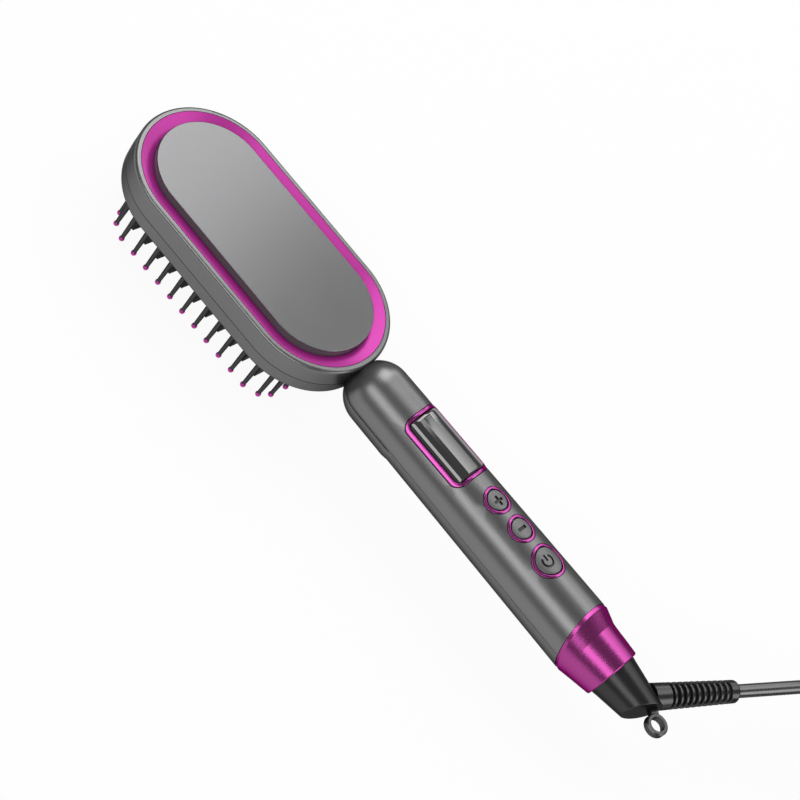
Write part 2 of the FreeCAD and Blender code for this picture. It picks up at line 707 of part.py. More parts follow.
def raised_back():
    """Fuller head end of the back shell, which slopes down to the rest."""
    dome = HANDLE_HEAD_RADIUS + STEP_HEIGHT
    end = STEP_AT + STEP_RUN
    return spin([
        (past(DOME_AT) - dome, 0),
        arc_middle((past(DOME_AT), 0), dome, 135),
        (past(DOME_AT), dome),
        (past(STEP_AT), handle_radius(STEP_AT) + STEP_HEIGHT),
        (past(end), handle_radius(end) - FIT),
        (past(end), 0),
    ])


def window_prism(shrink, clearance):
    return rounded_prism(past(WINDOW_AT), WINDOW_HALF_LENGTH - shrink + clearance,
                         WINDOW_HALF_WIDTH - shrink + clearance,
                         max(WINDOW_CORNER - shrink, LENS_CORNER), AXIS_Z, AXIS_Z + 2 * HANDLE_TAIL_RADIUS)


def shell_trim():
    return [stadium(HEAD_RADIUS + HEAD_GAP, 0, AXIS_Z + FAR), beyond_collar(-FIT),
            bar(past(NECK_FROM), past(NECK_TO + FIT), NECK_RADIUS + FIT)]


def make_front_shell():
    shell = handle_body(0).cut(handle_body(-HANDLE_WALL))
    bosses = [post(past(place), 0, AXIS_Z, AXIS_Z + handle_radius(place) - HANDLE_WALL / 2, BOSS_RADIUS)
              for place in HANDLE_SCREWS]
    inner = handle_body(-HANDLE_WALL / 2)
    for place in POST_AT:
        for side in (-1, 1):
            pin = post(past(place), side * POST_Y, AXIS_Z + BOARD_TOP, AXIS_Z + HANDLE_TAIL_RADIUS,
                       POST_RADIUS)
            bosses.append(pin.common(inner))
    shell = shell.fuse(bosses + neck_wells()).common(half_space(True))
    cutters = shell_trim() + [window_prism(0, FIT)]
    for place, radius, ring_radius in BUTTONS.values():
        cutters.append(post(past(place), 0, AXIS_Z + BOARD_TOP, AXIS_Z + FAR, radius + SLIP))
        seat = post(past(place), 0, AXIS_Z + BOARD_TOP, AXIS_Z + FAR, ring_radius + FIT)
        cutters.append(seat.cut(handle_body(-RING_DEPTH)))
    for place in HANDLE_SCREWS:
        cutters.append(post(past(place), 0, AXIS_Z - OVERRUN,
                            AXIS_Z - SCREW_SEAT_DEPTH + HANDLE_SCREW_LENGTH, SCREW_RADIUS + FIT))
    for place in POST_AT:
        for side in (-1, 1):
            cutters.append(post(past(place), side * POST_Y, AXIS_Z,
                                AXIS_Z + BOARD_TOP - BOARD_THICKNESS + POST_SCREW_LENGTH,
                                POST_SCREW_RADIUS + FIT))
    return shell.cut(cutters)


def make_back_shell():
    shell = handle_body(0).fuse(raised_back()).cut(handle_body(-HANDLE_WALL))
    bosses = [post(past(place), 0, AXIS_Z - handle_radius(place) + HANDLE_WALL / 2, AXIS_Z, BOSS_RADIUS)
              for place in HANDLE_SCREWS]
    shell = shell.fuse(bosses + neck_wells()).common(half_space(False))
    cutters = shell_trim() + [seam_slot(), seam_edge()]
    for place in HANDLE_SCREWS:
        cutters.append(post(past(place), 0, AXIS_Z - FAR, AXIS_Z - SCREW_SEAT_DEPTH, COUNTERBORE_RADIUS))
        cutters.append(post(past(place), 0, AXIS_Z - FAR, AXIS_Z + OVERRUN, SCREW_RADIUS + FIT))
    return shell.cut(cutters)


def make_handle_screw(place):
    seat = AXIS_Z - SCREW_SEAT_DEPTH
    head = post(past(place), 0, seat - SCREW_HEAD_HEIGHT, seat, SCREW_HEAD_RADIUS)
    return head.fuse(post(past(place), 0, seat, seat + HANDLE_SCREW_LENGTH - FIT, SCREW_RADIUS))


def make_bezel():
    frame = window_prism(0, 0).cut(window_prism(BEZEL_WIDTH, 0))
    frame = frame.common(handle_body(BEZEL_PROUD)).cut(handle_body(-BEZEL_DEPTH))
    ledge = window_prism(BEZEL_WIDTH / 2, 0).cut(window_prism(BEZEL_WIDTH + LEDGE_WIDTH, 0))
    ledge = ledge.common(handle_body(-LENS_DEPTH - FIT)).cut(handle_body(-BEZEL_DEPTH))
    return frame.fuse(ledge).removeSplitter()


def make_lens():
    pane = window_prism(BEZEL_WIDTH, -FIT)
    return pane.common(handle_body(LENS_PROUD)).cut(handle_body(-LENS_DEPTH))


def make_display():
    half_length = WINDOW_HALF_LENGTH - DISPLAY_MARGIN
    low = AXIS_Z + BOARD_TOP
    return block(past(WINDOW_AT - half_length), past(WINDOW_AT + half_length), -DISPLAY_HALF_WIDTH,
                 DISPLAY_HALF_WIDTH, low, low + DISPLAY_THICKNESS)


def make_board():
    low = AXIS_Z + BOARD_TOP - BOARD_THICKNESS
    board = block(past(BOARD_FROM), past(BOARD_TO), -BOARD_HALF_WIDTH, BOARD_HALF_WIDTH,
                  low, AXIS_Z + BOARD_TOP)
    for place in POST_AT:
        for side in (-1, 1):
            board = board.cut(post(past(place), side * POST_Y, low - OVERRUN, low + OVERRUN,
                                   POST_SCREW_RADIUS + FIT))
    return board


def make_board_screw(place, side):
    seat = AXIS_Z + BOARD_TOP - BOARD_THICKNESS
    head = post(past(place), side * POST_Y, seat - POST_SCREW_HEAD_HEIGHT, seat, POST_SCREW_HEAD)
    return head.fuse(post(past(place), side * POST_Y, seat, seat + POST_SCREW_LENGTH - FIT,
                          POST_SCREW_RADIUS))


def make_button(name):
    place, radius = BUTTONS[name][:2]
    low = AXIS_Z + BOARD_TOP
    body = post(past(place), 0, low, low + HANDLE_TAIL_RADIUS, radius).common(handle_body(BUTTON_PROUD))
    body = body.cut(handle_body(-BUTTON_FLANGE_BOTTOM))
    flange = post(past(place), 0, low, low + HANDLE_TAIL_RADIUS, radius + BUTTON_FLANGE)
    flange = flange.common(handle_body(-BUTTON_FLANGE_TOP)).cut(handle_body(-BUTTON_FLANGE_BOTTOM))
    stem = post(past(place), 0, low + SWITCH_HEIGHT - STEM_ENTRY,
                AXIS_Z + handle_radius(place) - BUTTON_FLANGE_TOP, STEM_RADIUS)
    return body.fuse([flange, stem]).removeSplitter()


def make_button_ring(name):
    place, radius, ring_radius = BUTTONS[name]
    low = AXIS_Z + BOARD_TOP
    disc = post(past(place), 0, low, low + HANDLE_TAIL_RADIUS, ring_radius)
    disc = disc.cut(post(past(place), 0, low - OVERRUN, low + FAR, radius + SLIP))
    return disc.common(handle_body(RING_PROUD)).cut(handle_body(-RING_DEPTH + FIT))


def make_switch(name):
    place = BUTTONS[name][0]
    low = AXIS_Z + BOARD_TOP
    half = SWITCH_SIZE / 2
    body = block(past(place) - half, past(place) + half, -half, half, low, low + SWITCH_HEIGHT)
    hole_bottom = low + SWITCH_HEIGHT - STEM_ENTRY - BUTTON_TRAVEL - SLIP
    return body.cut(post(past(place), 0, hole_bottom, low + SWITCH_HEIGHT + OVERRUN, STEM_RADIUS + SLIP))


def make_heater_leads():
    wires = []
    board_low = BOARD_TOP - BOARD_THICKNESS - LEAD_WIRE_RADIUS
    heater_z = PLATE_TOP + HEATER_THICKNESS / 2
    drop_share = 0.35
    for side in (-1, 1):
        y = side * (NECK_BORE - LEAD_WIRE_RADIUS - LEAD_ROOM)
        points = [
            Vector(at(HEATER_HALF_LENGTH), y, heater_z),
            Vector(at(HEATER_HALF_LENGTH + LEG_LENGTH), y, heater_z),
            Vector(past(TONGUE_FROM), y, heater_z + LEAD_WIRE_RADIUS),
            Vector(past(NECK_FROM + LEG_LENGTH), y, AXIS_Z - drop_share * (AXIS_Z - heater_z)),
            Vector(past(NECK_TO), y, AXIS_Z),
            Vector(past(BOARD_FROM + LEG_LENGTH / 2), y, AXIS_Z + board_low),
            Vector(past(BOARD_FROM + 2 * LEG_LENGTH), y, AXIS_Z + board_low),
        ]
        wires.append(tube(points, LEAD_WIRE_RADIUS))
    return wires


def make_mains_leads():
    wires = []
    board_low = BOARD_TOP - BOARD_THICKNESS - LEAD_WIRE_RADIUS
    for side in (-1, 1):
        y = side * SPINDLE_BORE / 2
        points = [
            Vector(past(BOARD_TO - 2 * LEG_LENGTH), y, AXIS_Z + board_low),
            Vector(past(BOARD_TO - LEG_LENGTH / 2), y, AXIS_Z + board_low),
            Vector(past(SLEEVE_FROM), 2 * y, AXIS_Z + board_low / 2),
            Vector(past(SLEEVE_FROM + LEG_LENGTH), 2 * y, AXIS_Z),
            Vector(past(SPINDLE_FROM - LEAD_WIRE_RADIUS), y, AXIS_Z),
        ]
        wires.append(tube(points, LEAD_WIRE_RADIUS))
    return wires


# Tail

def slanted_ring(place, radius, slant, drop):
    """Wire where a slanted plane cuts a round bar along the handle's axis."""
    angle = math.radians(slant)
    centre = Vector(past(place), 0, AXIS_Z - drop)
    tall = radius / math.cos(angle) + LEAST_OVAL
    up = Vector(-math.sin(angle), 0, math.cos(angle))
    return Part.Wire([Part.Ellipse(centre + up * tall, centre + Y_AXIS * radius, centre).toShape()])


def make_collar():
    rings = [
        slanted_ring(COLLAR_AT, COLLAR_RADIUS - COLLAR_LIFT, COLLAR_SLANT, 0),
        slanted_ring(COLLAR_AT + COLLAR_EDGE, COLLAR_RADIUS, COLLAR_SLANT, 0),
        slanted_ring(COLLAR_WAIST_AT, COLLAR_WAIST_RADIUS, COLLAR_WAIST_SLANT, COLLAR_WAIST_DROP),
        slanted_ring(COLLAR_END - COLLAR_END_EDGE, COLLAR_END_RADIUS, 0, 0),
        slanted_ring(COLLAR_END, COLLAR_END_RADIUS - COLLAR_END_EDGE, 0, 0),
    ]
    stages = [Part.makeLoft([first, second], True, True) for first, second in zip(rings, rings[1:])]
    body = stages[0].fuse(stages[1:]).removeSplitter()
    bore = bar(past(COLLAR_AT - FAR), past(COLLAR_END - COLLAR_LIP), SLEEVE_SLIM_RADIUS + FIT)
    mouth = bar(past(COLLAR_AT), past(COLLAR_END + OVERRUN), COLLAR_LIP_RADIUS)
    return body.cut([bore, mouth])


def make_sleeve():
    end = COLLAR_END - COLLAR_LIP - FIT
    wide = bar(past(SLEEVE_FROM), past(SLEEVE_STEP), SLEEVE_RADIUS)
    slim = bar(past(SLEEVE_FROM), past(end), SLEEVE_SLIM_RADIUS)
    bore = bar(past(SLEEVE_FROM - OVERRUN), past(end - SLEEVE_LIP), SLEEVE_BORE)
    bearing = bar(past(SLEEVE_FROM), past(end + OVERRUN), SPINDLE_RADIUS + SPINDLE_SLIP)
    return wide.fuse(slim).removeSplitter().cut([bore, bearing])


def cap_cone(grow):
    end_radius = CAP_CONE_RADIUS - CAP_CONE_SLOPE * CAP_CONE_REACH
    return Part.makeCone(CAP_CONE_RADIUS + grow, end_radius + grow, CAP_CONE_REACH,
                         Vector(past(CAP_CONE_FROM), 0, AXIS_Z), X_AXIS)


def beyond_cap_end(offset):
    """Everything past the swivel's slanted end face, which lies along the cord."""
    cutter = block(0, FAR, -FAR, FAR, -FAR, FAR)
    cutter.rotate(Vector(0, 0, 0), Z_AXIS, CORD_ANGLE - 90)
    cutter.translate(Vector(past(CAP_END_AT) + offset, 0, AXIS_Z))
    return cutter


def make_swivel_cap():
    spindle = bar(past(SPINDLE_FROM), past(CAP_CONE_FROM + OVERRUN), SPINDLE_RADIUS)
    lead_radius = CAP_CONE_RADIUS - CAP_LEAD
    lead = Part.makeCone(lead_radius, lead_radius + CAP_CONE_REACH, CAP_CONE_REACH,
                         Vector(past(CAP_CONE_FROM), 0, AXIS_Z), X_AXIS)
    cone = cap_cone(0).common(lead).cut(beyond_cap_end(0))
    rim = max(cone.Edges, key=lambda edge: edge.CenterOfMass.x)
    body = cone.makeChamfer(CAP_END_EDGE, [rim]).fuse(spindle).removeSplitter()
    bore = bar(past(SPINDLE_FROM - OVERRUN), past(CAP_BORE_END), SPINDLE_BORE)
    socket = along_cord(Part.makeCylinder(RELIEF_PEG_RADIUS + FIT, RELIEF_SMOOTH, Vector(0, 0, 0), X_AXIS))
    return body.cut([bore, socket])


def make_swivel_clip():
    end = COLLAR_END - COLLAR_LIP - FIT - SLEEVE_LIP - CLIP_SLIP
    disc = bar(past(end - CLIP_THICKNESS), past(end), CLIP_RADIUS)
    return disc.cut(bar(past(SPINDLE_FROM - OVERRUN), past(end + OVERRUN), SPINDLE_RADIUS))


def make_loop():
    low = AXIS_Z - LOOP_THICKNESS / 2
    ring = post(past(LOOP_AT), 0, low, low + LOOP_THICKNESS, LOOP_RADIUS)
    ring = ring.makeChamfer(LOOP_EDGE, [edge for edge in ring.Edges if edge.isClosed()])
    neck = block(0, 2 * LOOP_RADIUS, -LOOP_NECK_WIDTH / 2, LOOP_NECK_WIDTH / 2,
                 -LOOP_NECK_THICKNESS / 2, LOOP_NECK_THICKNESS / 2)
    neck.rotate(Vector(0, 0, 0), Z_AXIS, LOOP_NECK_ANGLE)
    neck.translate(Vector(past(LOOP_AT), 0, AXIS_Z))
    neck = neck.common(beyond_cap_end(0))
    hole = post(past(LOOP_AT), 0, low - OVERRUN, low + LOOP_THICKNESS + OVERRUN, LOOP_HOLE_RADIUS)
    return ring.fuse(neck).removeSplitter().cut(hole)


def relief_radius(along):
    return RELIEF_RADIUS - RELIEF_SLOPE * along


def make_relief():
    points = [(0, 0), (0, RELIEF_RADIUS), (RELIEF_SMOOTH, relief_radius(RELIEF_SMOOTH)),
              (RELIEF_SMOOTH, RIB_CORE)]
    flat = RIB_PITCH / 2 - RIB_RAMP
    for rib in range(RIB_COUNT):
        start = RELIEF_SMOOTH + rib * RIB_PITCH + RIB_RAMP
        rise = start + RIB_RAMP
        fall = rise + flat
        points += [(start, RIB_CORE), (rise, relief_radius(rise)), (fall, relief_radius(fall)),
                   (fall + RIB_RAMP, RIB_CORE)]
    ring_from = RELIEF_REACH - RELIEF_END_RING
    round_from = RELIEF_REACH - RELIEF_END_ROUND
    points += [(ring_from, RIB_CORE), (ring_from, relief_radius(ring_from)), (round_from, relief_radius(round_from)),
               (RELIEF_REACH, relief_radius(RELIEF_REACH) - RELIEF_END_ROUND), (RELIEF_REACH, 0)]
    section = outline_face(points, lambda s, r: Vector(s, 0, r))
    sleeve = along_cord(section.revolve(Vector(0, 0, 0), X_AXIS, 360))
    sleeve = sleeve.cut(cap_cone(FIT))
    peg_length = RELIEF_PEG_TO - RELIEF_PEG_FROM
    peg = Part.makeCylinder(RELIEF_PEG_RADIUS, peg_length, Vector(RELIEF_PEG_FROM, 0, 0), X_AXIS)
    peg = along_cord(peg)
    bore = along_cord(Part.makeCylinder(CORD_RADIUS + FIT, RELIEF_REACH + 2 * OVERRUN,
                                        Vector(-OVERRUN, 0, 0), X_AXIS))
    return sleeve.fuse(peg).removeSplitter().cut(bore)


# Cord

def make_cord_inner():
    length = RELIEF_REACH - CORD_INNER_FROM
    return along_cord(Part.makeCylinder(CORD_RADIUS, length, Vector(CORD_INNER_FROM, 0, 0), X_AXIS))


def coil_base():
    return TIE_THICKNESS + TIE_GAP + CORD_RADIUS


def coil_place(turn):
    """Place on the coil after so many turns: spiral in, climb, spiral out, climb, and again."""
    layer_turns = (COIL_TURNS - CLIMB_TURNS * (COIL_LAYERS - 1)) / COIL_LAYERS
    stage, rest = divmod(turn, layer_turns + CLIMB_TURNS)
    stage = min(stage, COIL_LAYERS - 1)
    rest = turn - stage * (layer_turns + CLIMB_TURNS)
    inward = stage % 2 == 0
    build = layer_turns * COIL_STEP
    height = coil_base() + stage * COIL_STEP
    done = min(rest, layer_turns) * COIL_STEP
    radius = COIL_OUTER_RADIUS - done if inward else COIL_OUTER_RADIUS - build + done
    if rest > layer_turns:
        share = (rest - layer_turns) / CLIMB_TURNS
        swing = COIL_SPREAD * COIL_STEP * math.sin(math.pi * share)
        radius += -swing if inward else swing
        height += COIL_STEP * (1 - math.cos(math.pi * share)) / 2
    angle = math.pi / 2 - 2 * math.pi * turn
    x = past(COIL_CENTRE[0]) + radius * math.cos(angle)
    y = COIL_CENTRE[1] + radius * math.sin(angle)
    return Vector(x, y, height)


def coil_heading(turn):
    small_share = 0.001
    return (coil_place(turn + small_share) - coil_place(turn - small_share)).normalize()


def arc_from(start, heading, end):
    """Arc that leaves a place along a heading and ends at another place."""
    chord = end - start
    across = chord - heading * chord.dot(heading)
    across.normalize()
    radius = chord.Length ** 2 / (2 * chord.dot(across))
    centre = start + across * radius
    middle = centre + ((start + end) * 0.5 - centre).normalize() * radius
    return Part.Arc(start, middle, end).toShape()


def biarc(start, heading, end, last_heading):
    """Two arcs that join two places along their headings."""
    chord = end - start
    sum_heading = heading + last_heading
    along = chord.dot(sum_heading)
    bend = 2 * (1 - heading.dot(last_heading))
    reach = (math.sqrt(along ** 2 + bend * chord.dot(chord)) - along) / bend
    joint = (start + heading * reach + end - last_heading * reach) * 0.5
    first = arc_from(start, heading, joint)
    second = arc_from(joint, (joint - (start + heading * reach)).normalize(), end)
    return [first, second]


def coil_edges():
    quarter_turns = round(COIL_TURNS * 4)
    turns = [quarter / 4 for quarter in range(quarter_turns + 1)]
    headings = [coil_heading(turn) for turn in turns]
    headings[0] = X_AXIS
    headings[-1] = Vector(0, -1, 0)
    places = [coil_place(turn) for turn in turns]
    entry = places[0] - X_AXIS * 2 * CORD_RADIUS
    leave = places[-1] - Y_AXIS * 2 * CORD_RADIUS
    edges = [Part.LineSegment(entry, places[0]).toShape()]
    for index in range(quarter_turns):
        edges += biarc(places[index], headings[index], places[index + 1], headings[index + 1])
    edges.append(Part.LineSegment(places[-1], leave).toShape())
    return entry, leave, edges


def coil_gap(edges):
    """Least gap between turns, on points along the coil's line."""
    step_share = 0.25
    points = []
    run = 0
    for edge in edges:
        count = max(2, int(edge.Length / (CORD_RADIUS * step_share)))
        for point in edge.discretize(count)[:-1]:
            if points:
                run += (point - points[-1][1]).Length
            points.append((run, point))
    least = FAR
    apart = 2 * math.pi * CORD_RADIUS
    for index, (run, point) in enumerate(points):
        for other_run, other in points[index + 1:]:
            if other_run - run > apart:
                least = min(least, (other - point).Length)
    return least - 2 * CORD_RADIUS


def make_coil():
    entry, leave, edges = coil_edges()
    print("coil least gap", round(coil_gap(edges), 2))
    return sweep(edges, entry, X_AXIS, CORD_RADIUS, "cord_coil")


def make_cord_lead():
    start = Vector(past(CORD_CROSSING), 0, AXIS_Z) + CORD_ACROSS * RELIEF_REACH
    entry = coil_edges()[0]
    corner = Vector(past(LEAD_CORNER_AT), entry.y, entry.z)
    points = [start + CORD_ACROSS * CORD_GAP, start + CORD_ACROSS * LEAD_FIRST_RUN, corner, entry]
    return tube(points, CORD_RADIUS, "cord_lead")


def make_cord_tail():
    leave = coil_edges()[1]
    plug_z = PLUG_HEIGHT / 2
    points = [leave]
    for index, (x, y) in enumerate(TAIL_TURNS):
        points.append(Vector(past(x), y, leave.z if index == 0 else plug_z))
    return tube(points, CORD_RADIUS, "cord_tail")


def make_tie(degrees):
    """Flat band round the coil's bundle at one angle."""
    build = (COIL_TURNS - CLIMB_TURNS * (COIL_LAYERS - 1)) / COIL_LAYERS * COIL_STEP
    half = TIE_WIDTH / 2
    swing = COIL_SPREAD * COIL_STEP + CORD_RADIUS + TIE_SIDE_GAP
    inner = math.sqrt((COIL_OUTER_RADIUS - build - swing) ** 2 - half ** 2)
    outer = COIL_OUTER_RADIUS + swing
    top = coil_base() + (COIL_LAYERS - 1) * COIL_STEP + CORD_RADIUS + TIE_GAP
    band = block(inner - TIE_THICKNESS, outer + TIE_THICKNESS, -half, half, 0, top + TIE_THICKNESS)
    band = band.cut(block(inner, outer, -half - OVERRUN, half + OVERRUN, TIE_THICKNESS, top))
    band.rotate(Vector(0, 0, 0), Z_AXIS, degrees)
    band.translate(Vector(past(COIL_CENTRE[0]), COIL_CENTRE[1], 0))
    return band


def plug_front():
    return TAIL_TURNS[-1][1] - PLUG_LENGTH


def make_plug():
    x = past(TAIL_TURNS[-1][0])
    rear = TAIL_TURNS[-1][1]
    front = plug_front()
    shoulder = rear - PLUG_SHOULDER
    points = [(x - PLUG_HALF_WIDTH, front), (x + PLUG_HALF_WIDTH, front),
              (x + PLUG_HALF_WIDTH, shoulder), (x + PLUG_REAR_HALF_WIDTH, rear),
              (x - PLUG_REAR_HALF_WIDTH, rear), (x - PLUG_HALF_WIDTH, shoulder)]
    body = outline_face(points, lambda px, py: Vector(px, py, 0)).extrude(Vector(0, 0, PLUG_HEIGHT))
    flat_edges = [edge for edge in body.Edges if abs(edge.tangentAt(edge.FirstParameter).z) < FIT]
    return body.makeChamfer(PLUG_CHAMFER, flat_edges)


def make_pin(side):
    x = past(TAIL_TURNS[-1][0]) + side * PIN_SPACING / 2
    root = Vector(x, plug_front(), PLUG_HEIGHT / 2)
    shank = Part.makeCylinder(PIN_RADIUS, PIN_LENGTH - PIN_POINT, root, -Y_AXIS)
    point = Part.makeCone(PIN_RADIUS, PIN_RADIUS - PIN_POINT / 2, PIN_POINT,
                          root - Y_AXIS * (PIN_LENGTH - PIN_POINT), -Y_AXIS)
    return shank.fuse(point)


def make_all():
    os.makedirs("parts", exist_ok=True)
    sides = (-1, 1)
    save("head_upper_case", make_upper_case())
    save("head_lower_case", make_lower_case())
    save("accent_ring", make_accent_ring())
    save("cap_panel", make_cap_panel())
    save("long_bristles", [make_bristle(x, y) for x, y in bristle_places()])
    save("bristle_tips", [make_bristle_tip(x, y) for x, y in bristle_places()])
    save("heating_plate", make_heating_plate())
    save("heating_fins", [make_fin(at(row * ROW_PITCH)) for row in range(-SIDE_ROWS, SIDE_ROWS + 1)])
    save("ptc_heaters", make_heaters())
    save("mica_sheet", make_mica())
    save("heater_clamp", make_clamp())
    save("clamp_screws", [make_clamp_screw(side) for side in sides])
    save("thermal_fuse", make_fuse())
    save("heat_sensor", make_sensor())
    save("head_screws", [make_head_screw(x, y) for x, y in head_screw_places()])
    save("neck_tube", make_neck_tube())
    save("handle_front_shell", make_front_shell())
    save("handle_back_shell", make_back_shell())
    save("handle_screws", [make_handle_screw(place) for place in HANDLE_SCREWS])
    save("window_bezel", make_bezel())
    save("window_lens", make_lens())
    save("display_module", make_display())
    save("control_board", make_board())
    save("board_screws", [make_board_screw(place, side) for place in POST_AT for side in sides])
    for name in BUTTONS:
        save(name + "_button", make_button(name))
        save(name + "_ring", make_button_ring(name))
    save("tact_switches", [make_switch(name) for name in BUTTONS])
    save("heater_leads", make_heater_leads())
    save("mains_leads", make_mains_leads())
    save("tail_collar", make_collar())
    save("tail_sleeve", make_sleeve())
    save("swivel_cap", make_swivel_cap())
    save("swivel_clip", make_swivel_clip())
    save("hang_loop", make_loop())
    save("strain_relief", make_relief())
    save("cord_inner", make_cord_inner())
    save("cord_lead", make_cord_lead())
    save("cord_coil", make_coil())
    save("cord_tail", make_cord_tail())
    save("cord_ties", [make_tie(angle) for angle in TIE_ANGLES])
    save("plug_body", make_plug())
    save("plug_pins", [make_pin(side) for side in sides])


make_all()
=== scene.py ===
"""Electric straightening comb: trim, bristles, cord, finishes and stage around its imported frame."""

import json
import math

import bmesh
import bpy
from mathutils import Matrix, Vector


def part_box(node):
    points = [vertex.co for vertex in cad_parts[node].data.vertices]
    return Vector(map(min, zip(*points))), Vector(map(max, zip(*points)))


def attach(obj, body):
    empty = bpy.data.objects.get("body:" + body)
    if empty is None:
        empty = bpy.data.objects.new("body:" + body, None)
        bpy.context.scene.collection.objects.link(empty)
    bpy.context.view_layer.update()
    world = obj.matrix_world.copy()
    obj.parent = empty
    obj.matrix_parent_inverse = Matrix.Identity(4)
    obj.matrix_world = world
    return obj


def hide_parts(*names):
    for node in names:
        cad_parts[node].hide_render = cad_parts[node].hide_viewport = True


bl_info = {
    "name": "Straightening Comb",
    "version": (1, 0, 0),
    "blender": (4, 5, 0),
    "location": "3D View > Sidebar > Comb",
    "description": "Dresses an electric straightening comb with its trim, bristles, cord and finishes",
    "category": "Object",
}

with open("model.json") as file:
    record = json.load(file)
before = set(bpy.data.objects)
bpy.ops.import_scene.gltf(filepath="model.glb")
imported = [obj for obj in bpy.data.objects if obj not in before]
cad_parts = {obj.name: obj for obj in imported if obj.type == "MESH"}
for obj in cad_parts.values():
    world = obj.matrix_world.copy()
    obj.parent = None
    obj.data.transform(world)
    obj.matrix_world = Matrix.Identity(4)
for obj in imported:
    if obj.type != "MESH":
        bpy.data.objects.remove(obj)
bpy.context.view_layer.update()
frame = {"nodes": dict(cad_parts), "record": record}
JOINTS = {joint["name"]: joint for joint in frame["record"]["behaviour"]["joints"]}

# Places shared with the frame, in metres
AXIS_Z = JOINTS["cord_swivel"]["pos_m"][2]
HANDLE_THIN_X = -0.01505
HANDLE_THIN_RADIUS = 0.01335
HANDLE_THICK_X = 0.09895
HANDLE_THICK_RADIUS = 0.01445
HANDLE_SLOPE = (HANDLE_THICK_RADIUS - HANDLE_THIN_RADIUS) / (HANDLE_THICK_X - HANDLE_THIN_X)
UP = Vector((0.0, 0.0, 1.0))
WELD_REACH = 0.0000001

# Window and buttons, in metres
BEZEL_CORNER = 0.0040
PANE_CORNER = 0.0023
PANE_THICKNESS = 0.0013
BEAD_DEPTH = 0.0008
RING_HALF = 0.00074
# Radius of each button, and the shift of its sign
BUTTONS = {"plus": (0.0043, (0.0004, 0.0)), "minus": (0.0043, (0.0, 0.0)),
           "power": (0.0057, (-0.0002, -0.00075))}

# Cord route, in metres, as the frame's cord lies
CORD_RADIUS = 0.0027
CORD_CROSSING = Vector((0.13455, 0.0, AXIS_Z))
CORD_ACROSS = Vector((math.cos(math.radians(60.0)), math.sin(math.radians(60.0)), 0.0))
RELIEF_FROM = 0.0080
RELIEF_REACH = 0.0483
CORD_FROM = 0.0205
CORD_STRAIGHT = 0.0613
LEAD_POINTS = ((0.18470, 0.08686, 0.0267), (0.21435, 0.0975, 0.0036), (0.24155, 0.0975, 0.0036))
TAIL_POINTS = ((0.28245, 0.0566, 0.02145), (0.28245, 0.0406, 0.02145), (0.28395, 0.0126, 0.0068),
               (0.28395, -0.0020, 0.0068), (0.28395, -0.0080, 0.0068))
COIL_MIDDLE = Vector((0.24695, 0.0620, 0.0))
COIL_TURNS = 8.25
COIL_LAYERS = 4
COIL_CLIMB_TURNS = 0.5
COIL_OUTER_RADIUS = 0.0355
COIL_STEP = 0.00595
COIL_BASE = 0.0036
COIL_SWING_SHARE = 0.25
COIL_POINTS_PER_TURN = 24

# Plug, in metres. Its sections are distance from the rear, half width, half height and squareness
PIN_SLEEVE = 0.0095
PLUG_SECTIONS = (
    (0.0000, 0.0036, 0.0036, 2.0), (0.0004, 0.0041, 0.0041, 2.0), (0.0060, 0.0050, 0.0050, 2.0),
    (0.0090, 0.0072, 0.0057, 2.2), (0.0120, 0.0104, 0.0063, 2.6), (0.0150, 0.0122, 0.0066, 3.2),
    (0.0180, 0.0124, 0.0067, 3.8), (0.0240, 0.0122, 0.0066, 4.2), (0.0270, 0.0127, 0.0067, 4.6),
    (0.0290, 0.0130, 0.0068, 5.0), (0.0296, 0.0129, 0.0067, 5.0), (0.0300, 0.0124, 0.0062, 5.0))

# Camera, at the photograph's viewing angle
CAMERA_PLACE = Vector((0.08930, -0.64226, 0.77599))
CAMERA_RIGHT = Vector((0.6390, 0.6209, 0.4540))
CAMERA_UP = Vector((-0.7629, 0.4360, 0.4774))
CAMERA_LENS = 117.0
CAMERA_SENSOR = 36.0


# Sizes and colours that a user may change

def length_of(name, description, default):
    """Property for a length in metres."""
    return bpy.props.FloatProperty(name=name, description=description, default=default, unit="LENGTH")


def colour_of(name, description, *default):
    """Property for an opaque colour."""
    return bpy.props.FloatVectorProperty(
        name=name, description=description, default=(*default, 1.0), size=4, subtype="COLOR")


class CombSizes(bpy.types.PropertyGroup):
    """Sizes of the fine pieces."""

    bristle_foot: length_of("Bristle foot radius", "Radius of a bristle where it leaves the head", 0.0012)
    bristle_neck: length_of("Bristle neck radius", "Radius of a bristle at its ball tip", 0.00085)
    bead_rise: length_of("Bead rise", "How far the trim beads stand proud of the handle", 0.00025)
    bead_gap: length_of("Bead gap", "Open gap on each side of a trim bead", 0.0002)
    bead_round: length_of("Bead rounding", "Rounding of a trim bead's edges", 0.00025)
    pane_rise: length_of("Pane rise", "How far the window's pane stands proud of the handle", 0.0001)
    pane_round: length_of("Pane rounding", "Rounding of the window pane's rim", 0.0024)
    button_rise: length_of("Button rise", "How far the buttons stand proud of the handle", 0.00015)
    button_round: length_of("Button rounding", "Rounding of a button's edge", 0.0004)
    sign_depth: length_of("Sign depth", "Depth of the signs sunk into the buttons", 0.00065)
    rib_count: bpy.props.IntProperty(
        name="Relief ribs", description="Number of ribs on the strain relief", default=10)
    rib_pitch: length_of("Rib pitch", "Distance from one rib of the strain relief to the next", 0.00278)


